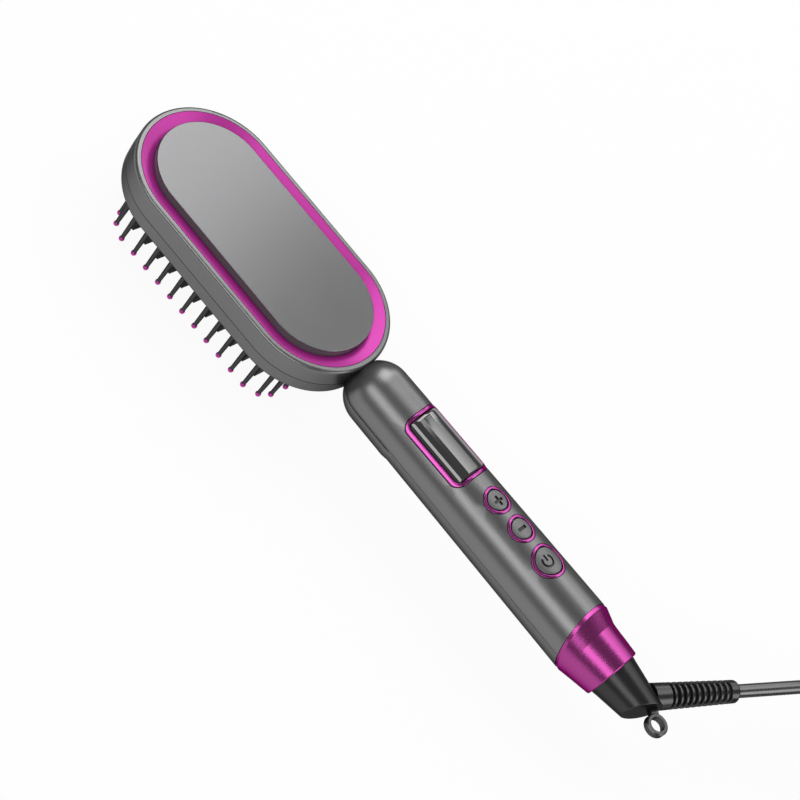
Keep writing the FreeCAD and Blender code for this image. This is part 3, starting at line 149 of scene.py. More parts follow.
class CombColours(bpy.types.PropertyGroup):
    """Colours of the main finishes."""

    case: colour_of("Case", "Satin grey of the head and handle", 0.205, 0.205, 0.208)
    cap: colour_of("Cap", "Satin grey of the head's cap", 0.182, 0.182, 0.185)
    accent: colour_of("Accent", "Magenta of the ring round the cap", 0.46, 0.03, 0.30)
    trim: colour_of("Trim", "Magenta of the metallic beads on the handle", 0.44, 0.075, 0.32)
    collar: colour_of("Collar", "Magenta of the metal collar", 0.46, 0.07, 0.31)
    button: colour_of("Buttons", "Grey of the button caps", 0.18, 0.18, 0.183)
    black: colour_of("Black", "Black of the tail and plug", 0.055, 0.055, 0.057)


# Node helpers

def feed(tree, socket, value):
    """Links a socket to another one, or sets its value."""
    if isinstance(value, bpy.types.NodeSocket):
        tree.links.new(value, socket)
    else:
        socket.default_value = value


def add(tree, kind, inputs=None, **settings):
    """Adds a node with its settings, and feeds its inputs."""
    node = tree.nodes.new(kind)
    for name, value in settings.items():
        setattr(node, name, value)
    for key, value in (inputs or {}).items():
        feed(tree, node.inputs[key], value)
    return node


def geo(tree, kind, inputs, **settings):
    """First output of a geometry node."""
    return add(tree, "GeometryNode" + kind, inputs, **settings).outputs[0]


def calc(tree, operation, *values):
    """Output of a Math node."""
    return add(tree, "ShaderNodeMath", dict(enumerate(values)), operation=operation).outputs[0]


def vector_calc(tree, operation, *values):
    """Output of a Vector Math node."""
    return add(tree, "ShaderNodeVectorMath", dict(enumerate(values)), operation=operation).outputs[0]


def vector(tree, **parts):
    """Vector from its X, Y and Z."""
    return add(tree, "ShaderNodeCombineXYZ", parts).outputs[0]


def choose(tree, share, first, second):
    """Value between two others."""
    return add(tree, "ShaderNodeMix", {0: share, 2: first, 3: second}).outputs[0]


def mixed(tree, share, first, second):
    """Colour between two others."""
    return add(tree, "ShaderNodeMix", {0: share, 6: first, 7: second}, data_type="RGBA").outputs[2]


def ramp(tree, value, low, high, first=0.0, last=1.0):
    """Smooth step of a value between two limits."""
    return add(tree, "ShaderNodeMapRange", {0: value, 1: low, 2: high, 3: first, 4: last},
               interpolation_type="SMOOTHSTEP").outputs[0]


def object_place(tree, axis=None):
    """Object coordinates, or one of them."""
    place = add(tree, "ShaderNodeTexCoord").outputs["Object"]
    return add(tree, "ShaderNodeSeparateXYZ", {0: place}).outputs[axis] if axis else place


def open_tree(name, kind, inputs, outputs):
    """New node group with its sockets. Returns the tree and its two end nodes."""
    tree = bpy.data.node_groups.new(name, kind)
    for label, socket_type, default in inputs:
        socket = tree.interface.new_socket(name=label, in_out="INPUT", socket_type=socket_type)
        if default is not None:
            socket.default_value = default
    for label, socket_type in outputs:
        tree.interface.new_socket(name=label, in_out="OUTPUT", socket_type=socket_type)
    return tree, tree.nodes.new("NodeGroupInput"), tree.nodes.new("NodeGroupOutput")


# Shared shader effects

GRAIN = "Moulded Grain"
LINES = "Drawn Lines"


def open_effect(name, inputs, *outputs):
    """New shader group whose roughness swings about its middle."""
    swinging = [("Roughness", "NodeSocketFloat", 0.4), ("Spread", "NodeSocketFloat", 0.12)]
    results = [(label, "NodeSocketFloat") for label in outputs]
    return open_tree(name, "ShaderNodeTree", inputs + swinging, results)


def swung(tree, entry, noise):
    """Roughness that swings with a noise."""
    swing = calc(tree, "MULTIPLY_ADD", noise, 2.0, -1.0)
    return calc(tree, "MULTIPLY_ADD", swing, entry.outputs["Spread"], entry.outputs["Roughness"])


def moulded_grain():
    """Fine moulded grain and slow changes of gloss."""
    smudge_scale = 45.0
    tree, entry, leave = open_effect(GRAIN, [("Grain Scale", "NodeSocketFloat", 2600.0)],
                                     "Roughness", "Height", "Smudge")
    place = object_place(tree)
    grain = add(tree, "ShaderNodeTexNoise",
                {"Vector": place, "Scale": entry.outputs["Grain Scale"], "Detail": 3.0}).outputs["Fac"]
    smudge = add(tree, "ShaderNodeTexNoise",
                 {"Vector": place, "Scale": smudge_scale, "Detail": 4.0, "Distortion": 0.6}).outputs["Fac"]
    feed(tree, leave.inputs["Roughness"], swung(tree, entry, smudge))
    feed(tree, leave.inputs["Height"], grain)
    feed(tree, leave.inputs["Smudge"], smudge)


def drawn_lines():
    """Fine lines left by brushing or drawing metal, along one axis."""
    tree, entry, leave = open_effect(LINES, [("Stretch", "NodeSocketVector", (60.0, 2500.0, 2500.0))],
                                     "Roughness", "Height")
    drawn = vector_calc(tree, "MULTIPLY", object_place(tree), entry.outputs["Stretch"])
    lines = add(tree, "ShaderNodeTexNoise", {"Vector": drawn, "Scale": 1.0, "Detail": 2.0}).outputs["Fac"]
    feed(tree, leave.inputs["Roughness"], swung(tree, entry, lines))
    feed(tree, leave.inputs["Height"], lines)


def effect(tree, group, **values):
    """Outputs of a shared effect, placed in a material with its own values."""
    inputs = {name.replace("_", " ").title(): value for name, value in values.items()}
    return add(tree, "ShaderNodeGroup", inputs, node_tree=bpy.data.node_groups[group]).outputs


# Finishes

DARK_EDGE = (0.15, 0.15, 0.15, 1.0)


def blank_material(name):
    """Empty tree of a new material."""
    material = bpy.data.materials.new(name)
    material.use_nodes = True
    material.node_tree.nodes.clear()
    return material.node_tree


def base_material(name, constants):
    """New material with one Principled shader. Returns its tree and the shader."""
    tree = blank_material(name)
    shader = add(tree, "ShaderNodeBsdfPrincipled", constants)
    add(tree, "ShaderNodeOutputMaterial", {"Surface": shader.outputs[0]})
    return tree, shader


def roughen(tree, shader, outputs, depth):
    """Gives a shader an effect's roughness, and a bump so many metres deep from its height."""
    feed(tree, shader.inputs["Roughness"], outputs["Roughness"])
    bump = add(tree, "ShaderNodeBump", {"Strength": 1.0, "Distance": depth, "Height": outputs["Height"]})
    feed(tree, shader.inputs["Normal"], bump.outputs[0])


def grained(name, colour, roughness, spread=0.05, grain=2600.0, depth=0.000015, shade=0.06, **constants):
    """Moulded finish: grain in the bump, slow changes of gloss and of tone."""
    tree, shader = base_material(name, {key.replace("_", " "): value for key, value in constants.items()})
    outputs = effect(tree, GRAIN, grain_scale=grain, roughness=roughness, spread=spread)
    darker = [channel * (1.0 - shade) for channel in colour[:3]] + [1.0]
    lighter = [channel * (1.0 + shade) for channel in colour[:3]] + [1.0]
    feed(tree, shader.inputs["Base Color"], mixed(tree, outputs["Smudge"], darker, lighter))
    roughen(tree, shader, outputs, depth)
    return tree, shader


def brushed(name, colour, roughness, stretch):
    """Metal with fine drawn lines."""
    line_depth = 0.00001
    tree, shader = base_material(name, {"Base Color": (*colour, 1.0), "Metallic": 1.0})
    roughen(tree, shader, effect(tree, LINES, stretch=stretch, roughness=roughness, spread=0.1), line_depth)


def metallic(share, **rest):
    """Values of a finish with a metallic look and dark edges."""
    return dict(Metallic=share, Specular_Tint=DARK_EDGE, **rest)


def moulded_finishes(colours):
    """Colour, roughness and other values of each moulded or painted finish."""
    return {
        "case_satin": (colours.case, 0.34, metallic(0.95, spread=0.02, depth=0.000003, shade=0.02)),
        "accent_gloss": (colours.accent, 0.3, dict(spread=0.02, depth=0.000001, shade=0.03, Metallic=0.4,
                                                   Specular_IOR_Level=0.3)),
        "trim_metal": (colours.trim, 0.2, metallic(1.0, spread=0.01, depth=0.000001, shade=0.02)),
        "ball_gloss": ((0.66, 0.07, 0.46), 0.18, metallic(0.75, spread=0.01, depth=0.000001, shade=0.02)),
        "bristle_plastic": ((0.08, 0.08, 0.082), 0.3, metallic(0.9, grain=4000.0, depth=0.000004)),
        "blade_coating": ((0.075, 0.075, 0.077), 0.34, metallic(0.9, grain=6000.0, depth=0.000005)),
        "window_glass": ((0.012, 0.012, 0.013), 0.06, dict(spread=0.01, depth=0.0000001, IOR=2.3)),
        "button_satin": (colours.button, 0.4, metallic(0.8, grain=3500.0, depth=0.000004)),
        # near-black walls and darker floor of the sunk signs: painted shade in the recesses
        "sign_wall": ((0.01, 0.01, 0.011), 0.6, dict(grain=3500.0, depth=0.000004)),
        "sign_floor": ((0.06, 0.06, 0.062), 0.5, dict(grain=3500.0, depth=0.000004, Metallic=0.5)),
        "tail_satin": (colours.black, 0.3, metallic(0.85, depth=0.000004)),
        "relief_sheath": ((0.085, 0.085, 0.087), 0.28, metallic(0.9, grain=3200.0, depth=0.000004)),
        "cord_sheath": ((0.16, 0.16, 0.163), 0.26, metallic(0.9, grain=3000.0, depth=0.000004)),
        "strap_cloth": ((0.018, 0.018, 0.02), 0.85, dict(grain=1800.0, depth=0.00015, shade=0.35)),
        "plug_satin": (colours.black, 0.42, dict(grain=1900.0, depth=0.00003)),
        "fired_ceramic": ((0.7, 0.66, 0.58), 0.7, dict(grain=1500.0, depth=0.00005)),
        "mica_flakes": ((0.55, 0.47, 0.33), 0.35, dict(spread=0.15, grain=400.0, shade=0.25)),
        "board_lacquer": ((0.03, 0.16, 0.07), 0.3, dict(grain=900.0, shade=0.2)),
        "inner_moulding": ((0.05, 0.05, 0.05), 0.55, dict(grain=1400.0, depth=0.00004)),
        "wire_cover": ((0.5, 0.03, 0.03), 0.45, dict(grain=2500.0)),
    }


def cap_satin(colours):
    """Satin top with a metallic look, and a matt wall below its edge whose darker grey is painted shade."""
    wall_from = 0.0009
    wall_to = 0.0004
    # darker grey of the side wall below the top's edge: painted shade
    wall_shade_grey = (0.12, 0.12, 0.122, 1.0)
    top_metallic = 0.85
    tree, shader = grained("cap_satin", colours.cap, 0.25, spread=0.01, depth=0.000002, shade=0.015,
                           Specular_Tint=DARK_EDGE)
    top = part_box("cap_panel")[1][2]
    on_top = ramp(tree, object_place(tree, "Z"), top - wall_from, top - wall_to)
    satin = shader.inputs["Base Color"].links[0].from_socket
    feed(tree, shader.inputs["Base Color"], mixed(tree, on_top, wall_shade_grey, satin))
    feed(tree, shader.inputs["Metallic"], calc(tree, "MULTIPLY", on_top, top_metallic))


def collar_anodised(colours):
    """Anodised metal whose tiny tilted flakes sparkle a little."""
    flake_scale = 9000.0
    flake_tilt = 0.09
    deep_share = 0.82
    tree, shader = base_material("collar_anodised", {"Metallic": 1.0, "Specular Tint": DARK_EDGE})
    place = object_place(tree)
    flakes = add(tree, "ShaderNodeTexVoronoi", {"Vector": place, "Scale": flake_scale}).outputs["Color"]
    tilt = vector_calc(tree, "MULTIPLY", vector_calc(tree, "SUBTRACT", flakes, (0.5,) * 3), (flake_tilt,) * 3)
    normal = add(tree, "ShaderNodeNewGeometry").outputs["Normal"]
    bent = vector_calc(tree, "NORMALIZE", vector_calc(tree, "ADD", normal, tilt))
    sparkle = add(tree, "ShaderNodeSeparateColor", {0: flakes}).outputs[0]
    deep = [channel * deep_share for channel in colours.collar[:3]] + [1.0]
    feed(tree, shader.inputs["Base Color"], mixed(tree, sparkle, deep, tuple(colours.collar)))
    feed(tree, shader.inputs["Roughness"], calc(tree, "MULTIPLY_ADD", sparkle, 0.1, 0.22))
    feed(tree, shader.inputs["Normal"], bent)


def plated_pin(colours):
    """Plated pins with a black sleeve next to the plug's face."""
    plating = (0.62, 0.60, 0.55, 1.0)
    tree, shader = base_material("plated_pin", {})
    sleeve_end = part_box("plug_body")[0][1] - PIN_SLEEVE
    sleeve = calc(tree, "GREATER_THAN", object_place(tree, "Y"), sleeve_end)
    feed(tree, shader.inputs["Base Color"], mixed(tree, sleeve, plating, tuple(colours.black)))
    feed(tree, shader.inputs["Metallic"], calc(tree, "SUBTRACT", 1.0, sleeve))
    lines = effect(tree, LINES, stretch=(2500.0, 60.0, 2500.0), roughness=0.28)
    feed(tree, shader.inputs["Roughness"], lines["Roughness"])


def make_finishes(colours):
    moulded_grain()
    drawn_lines()
    for name, (colour, roughness, rest) in moulded_finishes(colours).items():
        grained(name, colour, roughness, **rest)
    brushed("plated_screw", (0.5, 0.5, 0.51), 0.32, (1800.0, 1800.0, 60.0))
    brushed("drawn_steel", (0.55, 0.55, 0.56), 0.35, (60.0, 2500.0, 2500.0))
    cap_satin(colours)
    collar_anodised(colours)
    plated_pin(colours)


# Finish of each carried-over node
NODE_FINISHES = {
    "case_satin": ("head_upper_case", "head_lower_case", "handle_front_shell", "handle_back_shell"),
    "cap_satin": ("cap_panel",),
    "accent_gloss": ("accent_ring",),
    "collar_anodised": ("tail_collar",),
    "blade_coating": ("heating_plate", "heating_fins"),
    "tail_satin": ("swivel_cap",),
    "relief_sheath": ("hang_loop",),
    "plated_pin": ("plug_pins",),
    "plated_screw": ("clamp_screws", "head_screws", "board_screws"),
    "drawn_steel": ("heater_clamp", "swivel_clip"),
    "fired_ceramic": ("ptc_heaters", "thermal_fuse"),
    "mica_flakes": ("mica_sheet",),
    "board_lacquer": ("control_board",),
    "inner_moulding": ("neck_tube", "display_module", "heat_sensor", "tact_switches", "tail_sleeve"),
    "wire_cover": ("heater_leads", "mains_leads"),
}


# Shape helpers

def middle(node):
    """Middle of a node's box."""
    low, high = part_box(node)
    return (Vector(low) + Vector(high)) / 2


def half_size(node):
    """Half of a node's length, width and height."""
    low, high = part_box(node)
    return (Vector(high) - Vector(low)) / 2


def solid_boxes(node, reach):
    """Lowest and highest corners of a node's separate solids, each no wider than reach."""
    groups = []
    shape = frame["nodes"][node]
    for vertex in shape.data.vertices:
        place = shape.matrix_world @ vertex.co
        for group in groups:
            if (place - group[0]).xy.length < reach:
                group.append(place)
                break
        else:
            groups.append([place])
    return [[Vector([pick(values) for values in zip(*group)]) for pick in (min, max)] for group in groups]


def over_foot(box, lift=0.0):
    """Place over the middle of a box's under side."""
    low, high = box
    return Vector(((low.x + high.x) / 2, (low.y + high.y) / 2, low.z + lift))


def on_handle(x, y, lift):
    """Place on the handle's upper side, seen from above at x and y, lifted off its surface."""
    radius = HANDLE_THIN_RADIUS + (x - HANDLE_THIN_X) * HANDLE_SLOPE
    share = (radius + lift) / radius
    return Vector((x, y * share, AXIS_Z + math.sqrt(radius ** 2 - y ** 2) * share))


def round_turns(segments):
    """Even angles of a full turn."""
    return [2 * math.pi * segment / segments for segment in range(segments)]


def skin(shape, loops):
    """Faces from each loop of points to the next."""
    for first, second in zip(loops, loops[1:]):
        for index in range(len(first)):
            after = (index + 1) % len(first)
            shape.faces.new((first[index], first[after], second[after], second[index]))


def settle(piece, body, slot, *nodes):
    """Lets a piece ride on a body and hides the nodes that it stands for. The slot is not used."""
    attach(piece, body)
    if nodes:
        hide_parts(*nodes)


def place_mesh(name, mesh, *materials):
    """New piece from a mesh, with its finishes."""
    for material in materials:
        mesh.materials.append(bpy.data.materials[material])
    piece = bpy.data.objects.new(name, mesh)
    bpy.context.scene.collection.objects.link(piece)
    return piece


def solid_piece(name, shape, *materials, sharp_degrees=40.0):
    """New piece from a bmesh, faces outwards, smooth but for its sharp edges."""
    bmesh.ops.recalc_face_normals(shape, faces=shape.faces)
    mesh = bpy.data.meshes.new(name)
    shape.to_mesh(mesh)
    shape.free()
    mesh.shade_smooth()
    mesh.set_sharp_from_angle(angle=math.radians(sharp_degrees))
    return place_mesh(name, mesh, *materials)


def bake_modifiers(piece):
    """Turns a piece with modifiers into a plain mesh."""
    graph = bpy.context.evaluated_depsgraph_get()
    mesh = bpy.data.meshes.new_from_object(piece.evaluated_get(graph), depsgraph=graph)
    old = piece.data
    piece.modifiers.clear()
    piece.data = mesh
    bpy.data.meshes.remove(old)
    mesh.name = piece.name


def grow(name, tree, places, sizes, sharp_degrees=40.0):
    """Runs a geometry tree on some places. Keeps the result as a plain piece, its faces outwards."""
    seed = bpy.data.meshes.new(name)
    seed.from_pydata([tuple(place) for place in places], [], [])
    piece = place_mesh(name, seed)
    modifier = piece.modifiers.new("Grow", "NODES")
    modifier.node_group = tree
    for item in tree.interface.items_tree:
        if item.item_type == "SOCKET" and item.in_out == "INPUT" and item.name in sizes:
            modifier[item.identifier] = sizes[item.name]
    bake_modifiers(piece)
    shape = bmesh.new()
    shape.from_mesh(piece.data)
    bmesh.ops.remove_doubles(shape, verts=shape.verts, dist=WELD_REACH)
    bmesh.ops.recalc_face_normals(shape, faces=shape.faces)
    shape.to_mesh(piece.data)
    shape.free()
    piece.data.set_sharp_from_angle(angle=math.radians(sharp_degrees))
    return piece


def open_growth(name, *sizes):
    """New geometry tree with named sizes. Returns the tree, its inputs and its end node."""
    inputs = [("Places", "NodeSocketGeometry", None)] + [(size, "NodeSocketFloat", 0.0) for size in sizes]
    tree, entry, leave = open_tree(name, "GeometryNodeTree", inputs, [("Piece", "NodeSocketGeometry")])
    return tree, entry.outputs, leave


def close_growth(tree, leave, geometry, material):
    """Ends a geometry tree in plain smooth geometry with its finish."""
    plain = geo(tree, "RealizeInstances", {0: geo(tree, "SetShadeSmooth", {0: geometry})})
    dressed = geo(tree, "SetMaterial", {0: plain, "Material": bpy.data.materials[material]})
    feed(tree, leave.inputs[0], dressed)
    return tree


def on_places(tree, given, shape):
    """Copies of a shape on a tree's places."""
    return geo(tree, "InstanceOnPoints", {"Points": given["Places"], "Instance": shape})


def rounded_block(tree, length, width, radius, count):
    """Closed curve round a rectangle, with rounded corners."""
    block = geo(tree, "CurvePrimitiveQuadrilateral", {"Width": length, "Height": width})
    return geo(tree, "FilletCurve", {"Curve": block, "Count": count, "Radius": radius, "Limit Radius": True},
               mode="POLY")


def turned(tree, ends, steps, sides, radius):
    """Straight rod in so many steps, with a radius at each of them."""
    line = geo(tree, "CurvePrimitiveLine", ends)
    path = geo(tree, "ResampleCurve", {"Curve": line, "Count": steps})
    section = geo(tree, "CurvePrimitiveCircle", {"Resolution": sides, "Radius": 1.0})
    return geo(tree, "CurveToMesh",
               {"Curve": path, "Profile Curve": section, "Scale": radius, "Fill Caps": True})


def swept(tree, outline, section):
    """Section swept along a flat outline."""
    level = geo(tree, "SetCurveNormal", {"Curve": outline}, mode="Z_UP")
    return geo(tree, "CurveToMesh", {"Curve": level, "Profile Curve": section})


def ball_tree(name, segments, material):
    """Balls on their places, stretched or squeezed to a height."""
    tree, given, leave = open_growth(name, "Ball Radius", "Ball Height")
    ball = geo(tree, "MeshUVSphere", {"Segments": segments, "Rings": 12, "Radius": given["Ball Radius"]})
    stretch = calc(tree, "DIVIDE", given["Ball Height"], given["Ball Radius"])
    tall = geo(tree, "Transform", {"Geometry": ball, "Scale": vector(tree, X=1.0, Y=1.0, Z=stretch)})
    return close_growth(tree, leave, on_places(tree, given, tall), material)


# Bristles

def rod_tree(material):
    """Tapered rods standing on their places, with a small flare at the foot."""
    flare_from = 0.88
    steps = 12
    sides = 14
    tree, given, leave = open_growth("Bristle Rods", "Neck Radius", "Foot Radius", "Neck Height",
                                     "Foot Height", "Flare")
    along = add(tree, "GeometryNodeSplineParameter").outputs["Factor"]
    taper = calc(tree, "SUBTRACT", given["Foot Radius"], given["Neck Radius"])
    radius = calc(tree, "MULTIPLY_ADD", along, taper, given["Neck Radius"])
    flare = calc(tree, "MULTIPLY", ramp(tree, along, flare_from, 1.0), given["Flare"])
    ends = {"Start": vector(tree, Z=given["Neck Height"]), "End": vector(tree, Z=given["Foot Height"])}
    rod = turned(tree, ends, steps, sides, calc(tree, "ADD", radius, flare))
    return close_growth(tree, leave, on_places(tree, given, rod), material)


def build_bristles(sizes):
    ball_reach = 0.003
    ball_segments = 20
    flare = 0.0001
    boxes = solid_boxes("bristle_tips", ball_reach)
    ball_radius = (boxes[0][1].x - boxes[0][0].x) / 2
    places = [over_foot(box, ball_radius) for box in boxes]
    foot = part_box("long_bristles")[1][2] - places[0].z
    rods = grow("bristle_rods", rod_tree("bristle_plastic"), places,
                {"Neck Radius": sizes.bristle_neck, "Foot Radius": sizes.bristle_foot,
                 "Neck Height": ball_radius / 2, "Foot Height": foot, "Flare": flare})
    settle(rods, "comb", "bristle_black", "long_bristles")
    tips = grow("ball_tips", ball_tree("Ball Tips", ball_segments, "ball_gloss"), places,
                {"Ball Radius": ball_radius, "Ball Height": ball_radius})
    settle(tips, "comb", "accent_plastic", "bristle_tips")


# Trim beads round the window and the buttons

def bead_tree(material):
    """Flat bead with rounded edges along a rounded rectangle, laid on the handle's round side."""
    tree, given, leave = open_growth("Trim Bead", "Length", "Width", "Corner", "Bead Width", "Bead Rise",
                                     "Bead Depth", "Bead Round", "Centre")
    rounded = rounded_block(tree, given["Length"], given["Width"], given["Corner"], 24)
    outline = geo(tree, "ResampleCurve", {"Curve": rounded, "Count": 160})
    bead_height = calc(tree, "ADD", given["Bead Rise"], given["Bead Depth"])
    soft = rounded_block(tree, given["Bead Width"], bead_height, given["Bead Round"], 5)
    sunk = calc(tree, "MULTIPLY", calc(tree, "SUBTRACT", given["Bead Depth"], given["Bead Rise"]), 0.5)
    section = geo(tree, "Transform", {"Geometry": soft, "Translation": vector(tree, Y=sunk)})
    bead = swept(tree, outline, section)
    place = add(tree, "ShaderNodeSeparateXYZ", {0: geo(tree, "InputPosition", {})}).outputs
    x = calc(tree, "ADD", place["X"], given["Centre"])
    along = calc(tree, "SUBTRACT", x, HANDLE_THIN_X)
    radius = calc(tree, "MULTIPLY_ADD", along, HANDLE_SLOPE, HANDLE_THIN_RADIUS)
    share = calc(tree, "DIVIDE", calc(tree, "ADD", radius, place["Z"]), radius)
    across = calc(tree, "MULTIPLY", place["Y"], share)
    squared = calc(tree, "SUBTRACT", calc(tree, "POWER", radius, 2.0), calc(tree, "POWER", place["Y"], 2.0))
    height = calc(tree, "MULTIPLY_ADD", calc(tree, "SQRT", squared), share, AXIS_Z)
    laid = geo(tree, "SetPosition", {"Geometry": bead, "Position": vector(tree, X=x, Y=across, Z=height)})
    return close_growth(tree, leave, laid, material)


def build_beads(sizes):
    tree = bead_tree("trim_metal")
    window = half_size("window_bezel")
    bezel_half = (window.x - half_size("window_lens").x) / 2
    shapes = {"window_bezel": (window.x - bezel_half, window.y - bezel_half, BEZEL_CORNER - bezel_half,
                               bezel_half)}
    for key in BUTTONS:
        line = half_size(key + "_ring").x - RING_HALF
        shapes[key + "_ring"] = (line, line, line, RING_HALF)
    for node, (half_length, half_width, corner, room_half) in shapes.items():
        bead = grow(node + "_bead", tree, [(0, 0, 0)],
                    {"Length": 2 * half_length, "Width": 2 * half_width, "Corner": corner,
                     "Bead Width": 2 * (room_half - sizes.bead_gap), "Bead Rise": sizes.bead_rise,
                     "Bead Depth": BEAD_DEPTH, "Bead Round": sizes.bead_round, "Centre": middle(node).x})
        settle(bead, "comb", "accent_plastic", node)


# Window pane

def pane_loop(half_length, half_width, corner):
    """Points round a rounded rectangle, as many on each side whatever its size."""
    corner_steps = 8
    side_steps = 14
    corners = []
    for quarter, (along, across) in enumerate(((1, 1), (-1, 1), (-1, -1), (1, -1))):
        centre = Vector((along * (half_length - corner), across * (half_width - corner)))
        turns = [math.pi / 2 * (quarter + step / corner_steps) for step in range(corner_steps + 1)]
        corners.append([centre + corner * Vector((math.cos(turn), math.sin(turn))) for turn in turns])
    loop = []
    for first, second in zip(corners, corners[1:] + corners[:1]):
        loop += first
        loop += [first[-1].lerp(second[0], step / side_steps) for step in range(1, side_steps)]
    return loop


def pane_profile(half_width, sizes):
    """Distance from the pane's rim and lift, from its middle over its rounded rim to its under side."""
    rim_turn = math.radians(45.0)
    rim_steps = 12
    flat_steps = 28
    rim_reach = sizes.pane_round * math.sin(rim_turn)
    inner = [half_width + (rim_reach - half_width) * step / flat_steps for step in range(flat_steps)]
    profile = [(reach, sizes.pane_rise) for reach in inner]
    for step in range(rim_steps + 1):
        turn = rim_turn * step / rim_steps
        profile.append((rim_reach - sizes.pane_round * math.sin(turn),
                        sizes.pane_rise - sizes.pane_round * (1 - math.cos(turn))))
    return profile + [(reach, sizes.pane_rise - PANE_THICKNESS) for reach in [0.0] + inner[::-1]]


def near_drop(y):
    """How far the pane bends down towards its near side, over an arc into an even slope."""
    bend_from = 0.0047
    bend_round = 0.006
    bend_turn = math.radians(24.0)
    reach = max(-y - bend_from, 0.0)
    arc = bend_round * math.sin(bend_turn)
    if reach < arc:
        return bend_round - math.sqrt(bend_round ** 2 - reach ** 2)
    return bend_round * (1 - math.cos(bend_turn)) + (reach - arc) * math.tan(bend_turn)


def build_pane(sizes):
    """Pane bent down along its near side, rounded at its ends, and flat up to its far side."""
    flat_from = 0.0055
    flat_to = 0.0075
    size = half_size("window_lens")
    centre = middle("window_lens").x
    shape = bmesh.new()
    loops = []
    for reach, lift in pane_profile(size.y, sizes):
        loop = []
        for point in pane_loop(size.x - reach, size.y - reach, max(PANE_CORNER - reach, 0.0)):
            level = lift
            if lift > sizes.pane_rise - PANE_THICKNESS:
                share = min(max((point.y - flat_from) / (flat_to - flat_from), 0.0), 1.0)
                level = min(lift + (sizes.pane_rise - lift) * share, sizes.pane_rise - near_drop(point.y))
            loop.append(shape.verts.new(on_handle(centre + point.x, point.y, level)))
        loops.append(loop)
    skin(shape, loops)
    bmesh.ops.remove_doubles(shape, verts=shape.verts, dist=WELD_REACH)
    pane = solid_piece("window_pane", shape, "window_glass", sharp_degrees=50.0)
    settle(pane, "comb", "lens_dark", "window_lens")


# Buttons

def plus_outlines():
    arm = 0.0022
    half = 0.0006
    outline = []
    for quarter in range(4):
        turn = Matrix.Rotation(math.pi / 2 * quarter, 2)
        outline += [turn @ Vector(corner) for corner in ((half, half), (half, arm), (-half, arm))]
    return [outline]


def minus_outlines():
    arm = 0.0021
    half = 0.0007
    return [[Vector((half, arm)), Vector((-half, arm)), Vector((-half, -arm)), Vector((half, -arm))]]


def power_outlines():
    """Open ring and bar, with the opening towards the head."""
    outer = 0.00275
    inner = 0.00185
    gap_degrees = 42
    steps = 28
    start = math.radians(180 + gap_degrees)
    sweep = math.radians(360 - 2 * gap_degrees)
    turns = [start + sweep * step / steps for step in range(steps + 1)]
    ring = [Vector((outer * math.cos(turn), outer * math.sin(turn))) for turn in turns]
    ring += [Vector((inner * math.cos(turn), inner * math.sin(turn))) for turn in reversed(turns)]
    half = (outer - inner) / 2
    bar = [Vector((-outer, -half)), Vector((0, -half)), Vector((0, half)), Vector((-outer, half))]
    return [ring, bar]


def button_cap(name, centre, radius, sizes):
    """Button cap whose top follows the handle, with a rounded edge and a skirt."""
    segments = 72
    flat_steps = 6
    edge_steps = 5
    skirt_depth = 0.0016
    flat = radius - sizes.button_round
    profile = [(flat * step / flat_steps, sizes.button_rise) for step in range(1, flat_steps + 1)]
    for step in range(1, edge_steps + 1):
        turn = math.pi / 2 * step / edge_steps
        profile.append((flat + sizes.button_round * math.sin(turn),
                        sizes.button_rise - sizes.button_round * (1 - math.cos(turn))))
    profile.append((radius, -skirt_depth))
    shape = bmesh.new()
    rings = [[shape.verts.new(on_handle(centre + reach * math.cos(turn), reach * math.sin(turn), lift))
              for turn in round_turns(segments)] for reach, lift in profile]
    top = shape.verts.new(on_handle(centre, 0, sizes.button_rise))
    for first, second in zip(rings[0], rings[0][1:] + rings[0][:1]):
        shape.faces.new((top, first, second))
    skin(shape, rings)
    shape.faces.new(rings[-1])
    # the sign's walls and floor take painted shade from the cutter's finishes
    return solid_piece(name, shape, "button_satin", "sign_wall", "sign_floor")


def sign_cutter(name, centre, outlines, sizes):
    """Block that sinks a sign into a button, its floor following the handle. Its near-black walls and darker
    floor are painted shade.
    """
    clear = 0.001
    shape = bmesh.new()
    for outline in outlines:
        floor, top = ([shape.verts.new(on_handle(centre + corner.x, corner.y, lift)) for corner in outline]
                      for lift in (sizes.button_rise - sizes.sign_depth, clear))
        shape.faces.new(floor).material_index = 1
        shape.faces.new(top)
        skin(shape, [floor, top])
    bmesh.ops.triangulate(shape, faces=[face for face in shape.faces if len(face.verts) > 4])
    return solid_piece(name, shape, "sign_wall", "sign_floor")


def build_buttons(sizes):
    signs = {"plus": plus_outlines(), "minus": minus_outlines(), "power": power_outlines()}
    for key, (radius, shift) in BUTTONS.items():
        centre = middle(key + "_ring").x
        outlines = [[corner + Vector(shift) for corner in outline] for outline in signs[key]]
        cap = button_cap(key + "_cap", centre, radius, sizes)
        cutter = sign_cutter(key + "_sign", centre, outlines, sizes)
        cut = cap.modifiers.new("Sign", "BOOLEAN")
        cut.object = cutter
        cut.operation = "DIFFERENCE"
        cut.solver = "EXACT"
        cut.material_mode = "TRANSFER"
        bake_modifiers(cap)
        bpy.data.objects.remove(cutter)
        cap.data.set_sharp_from_angle(angle=math.radians(40.0))
        settle(cap, key + "_key", "button_grey", key + "_button")


# Screws in the handle's back

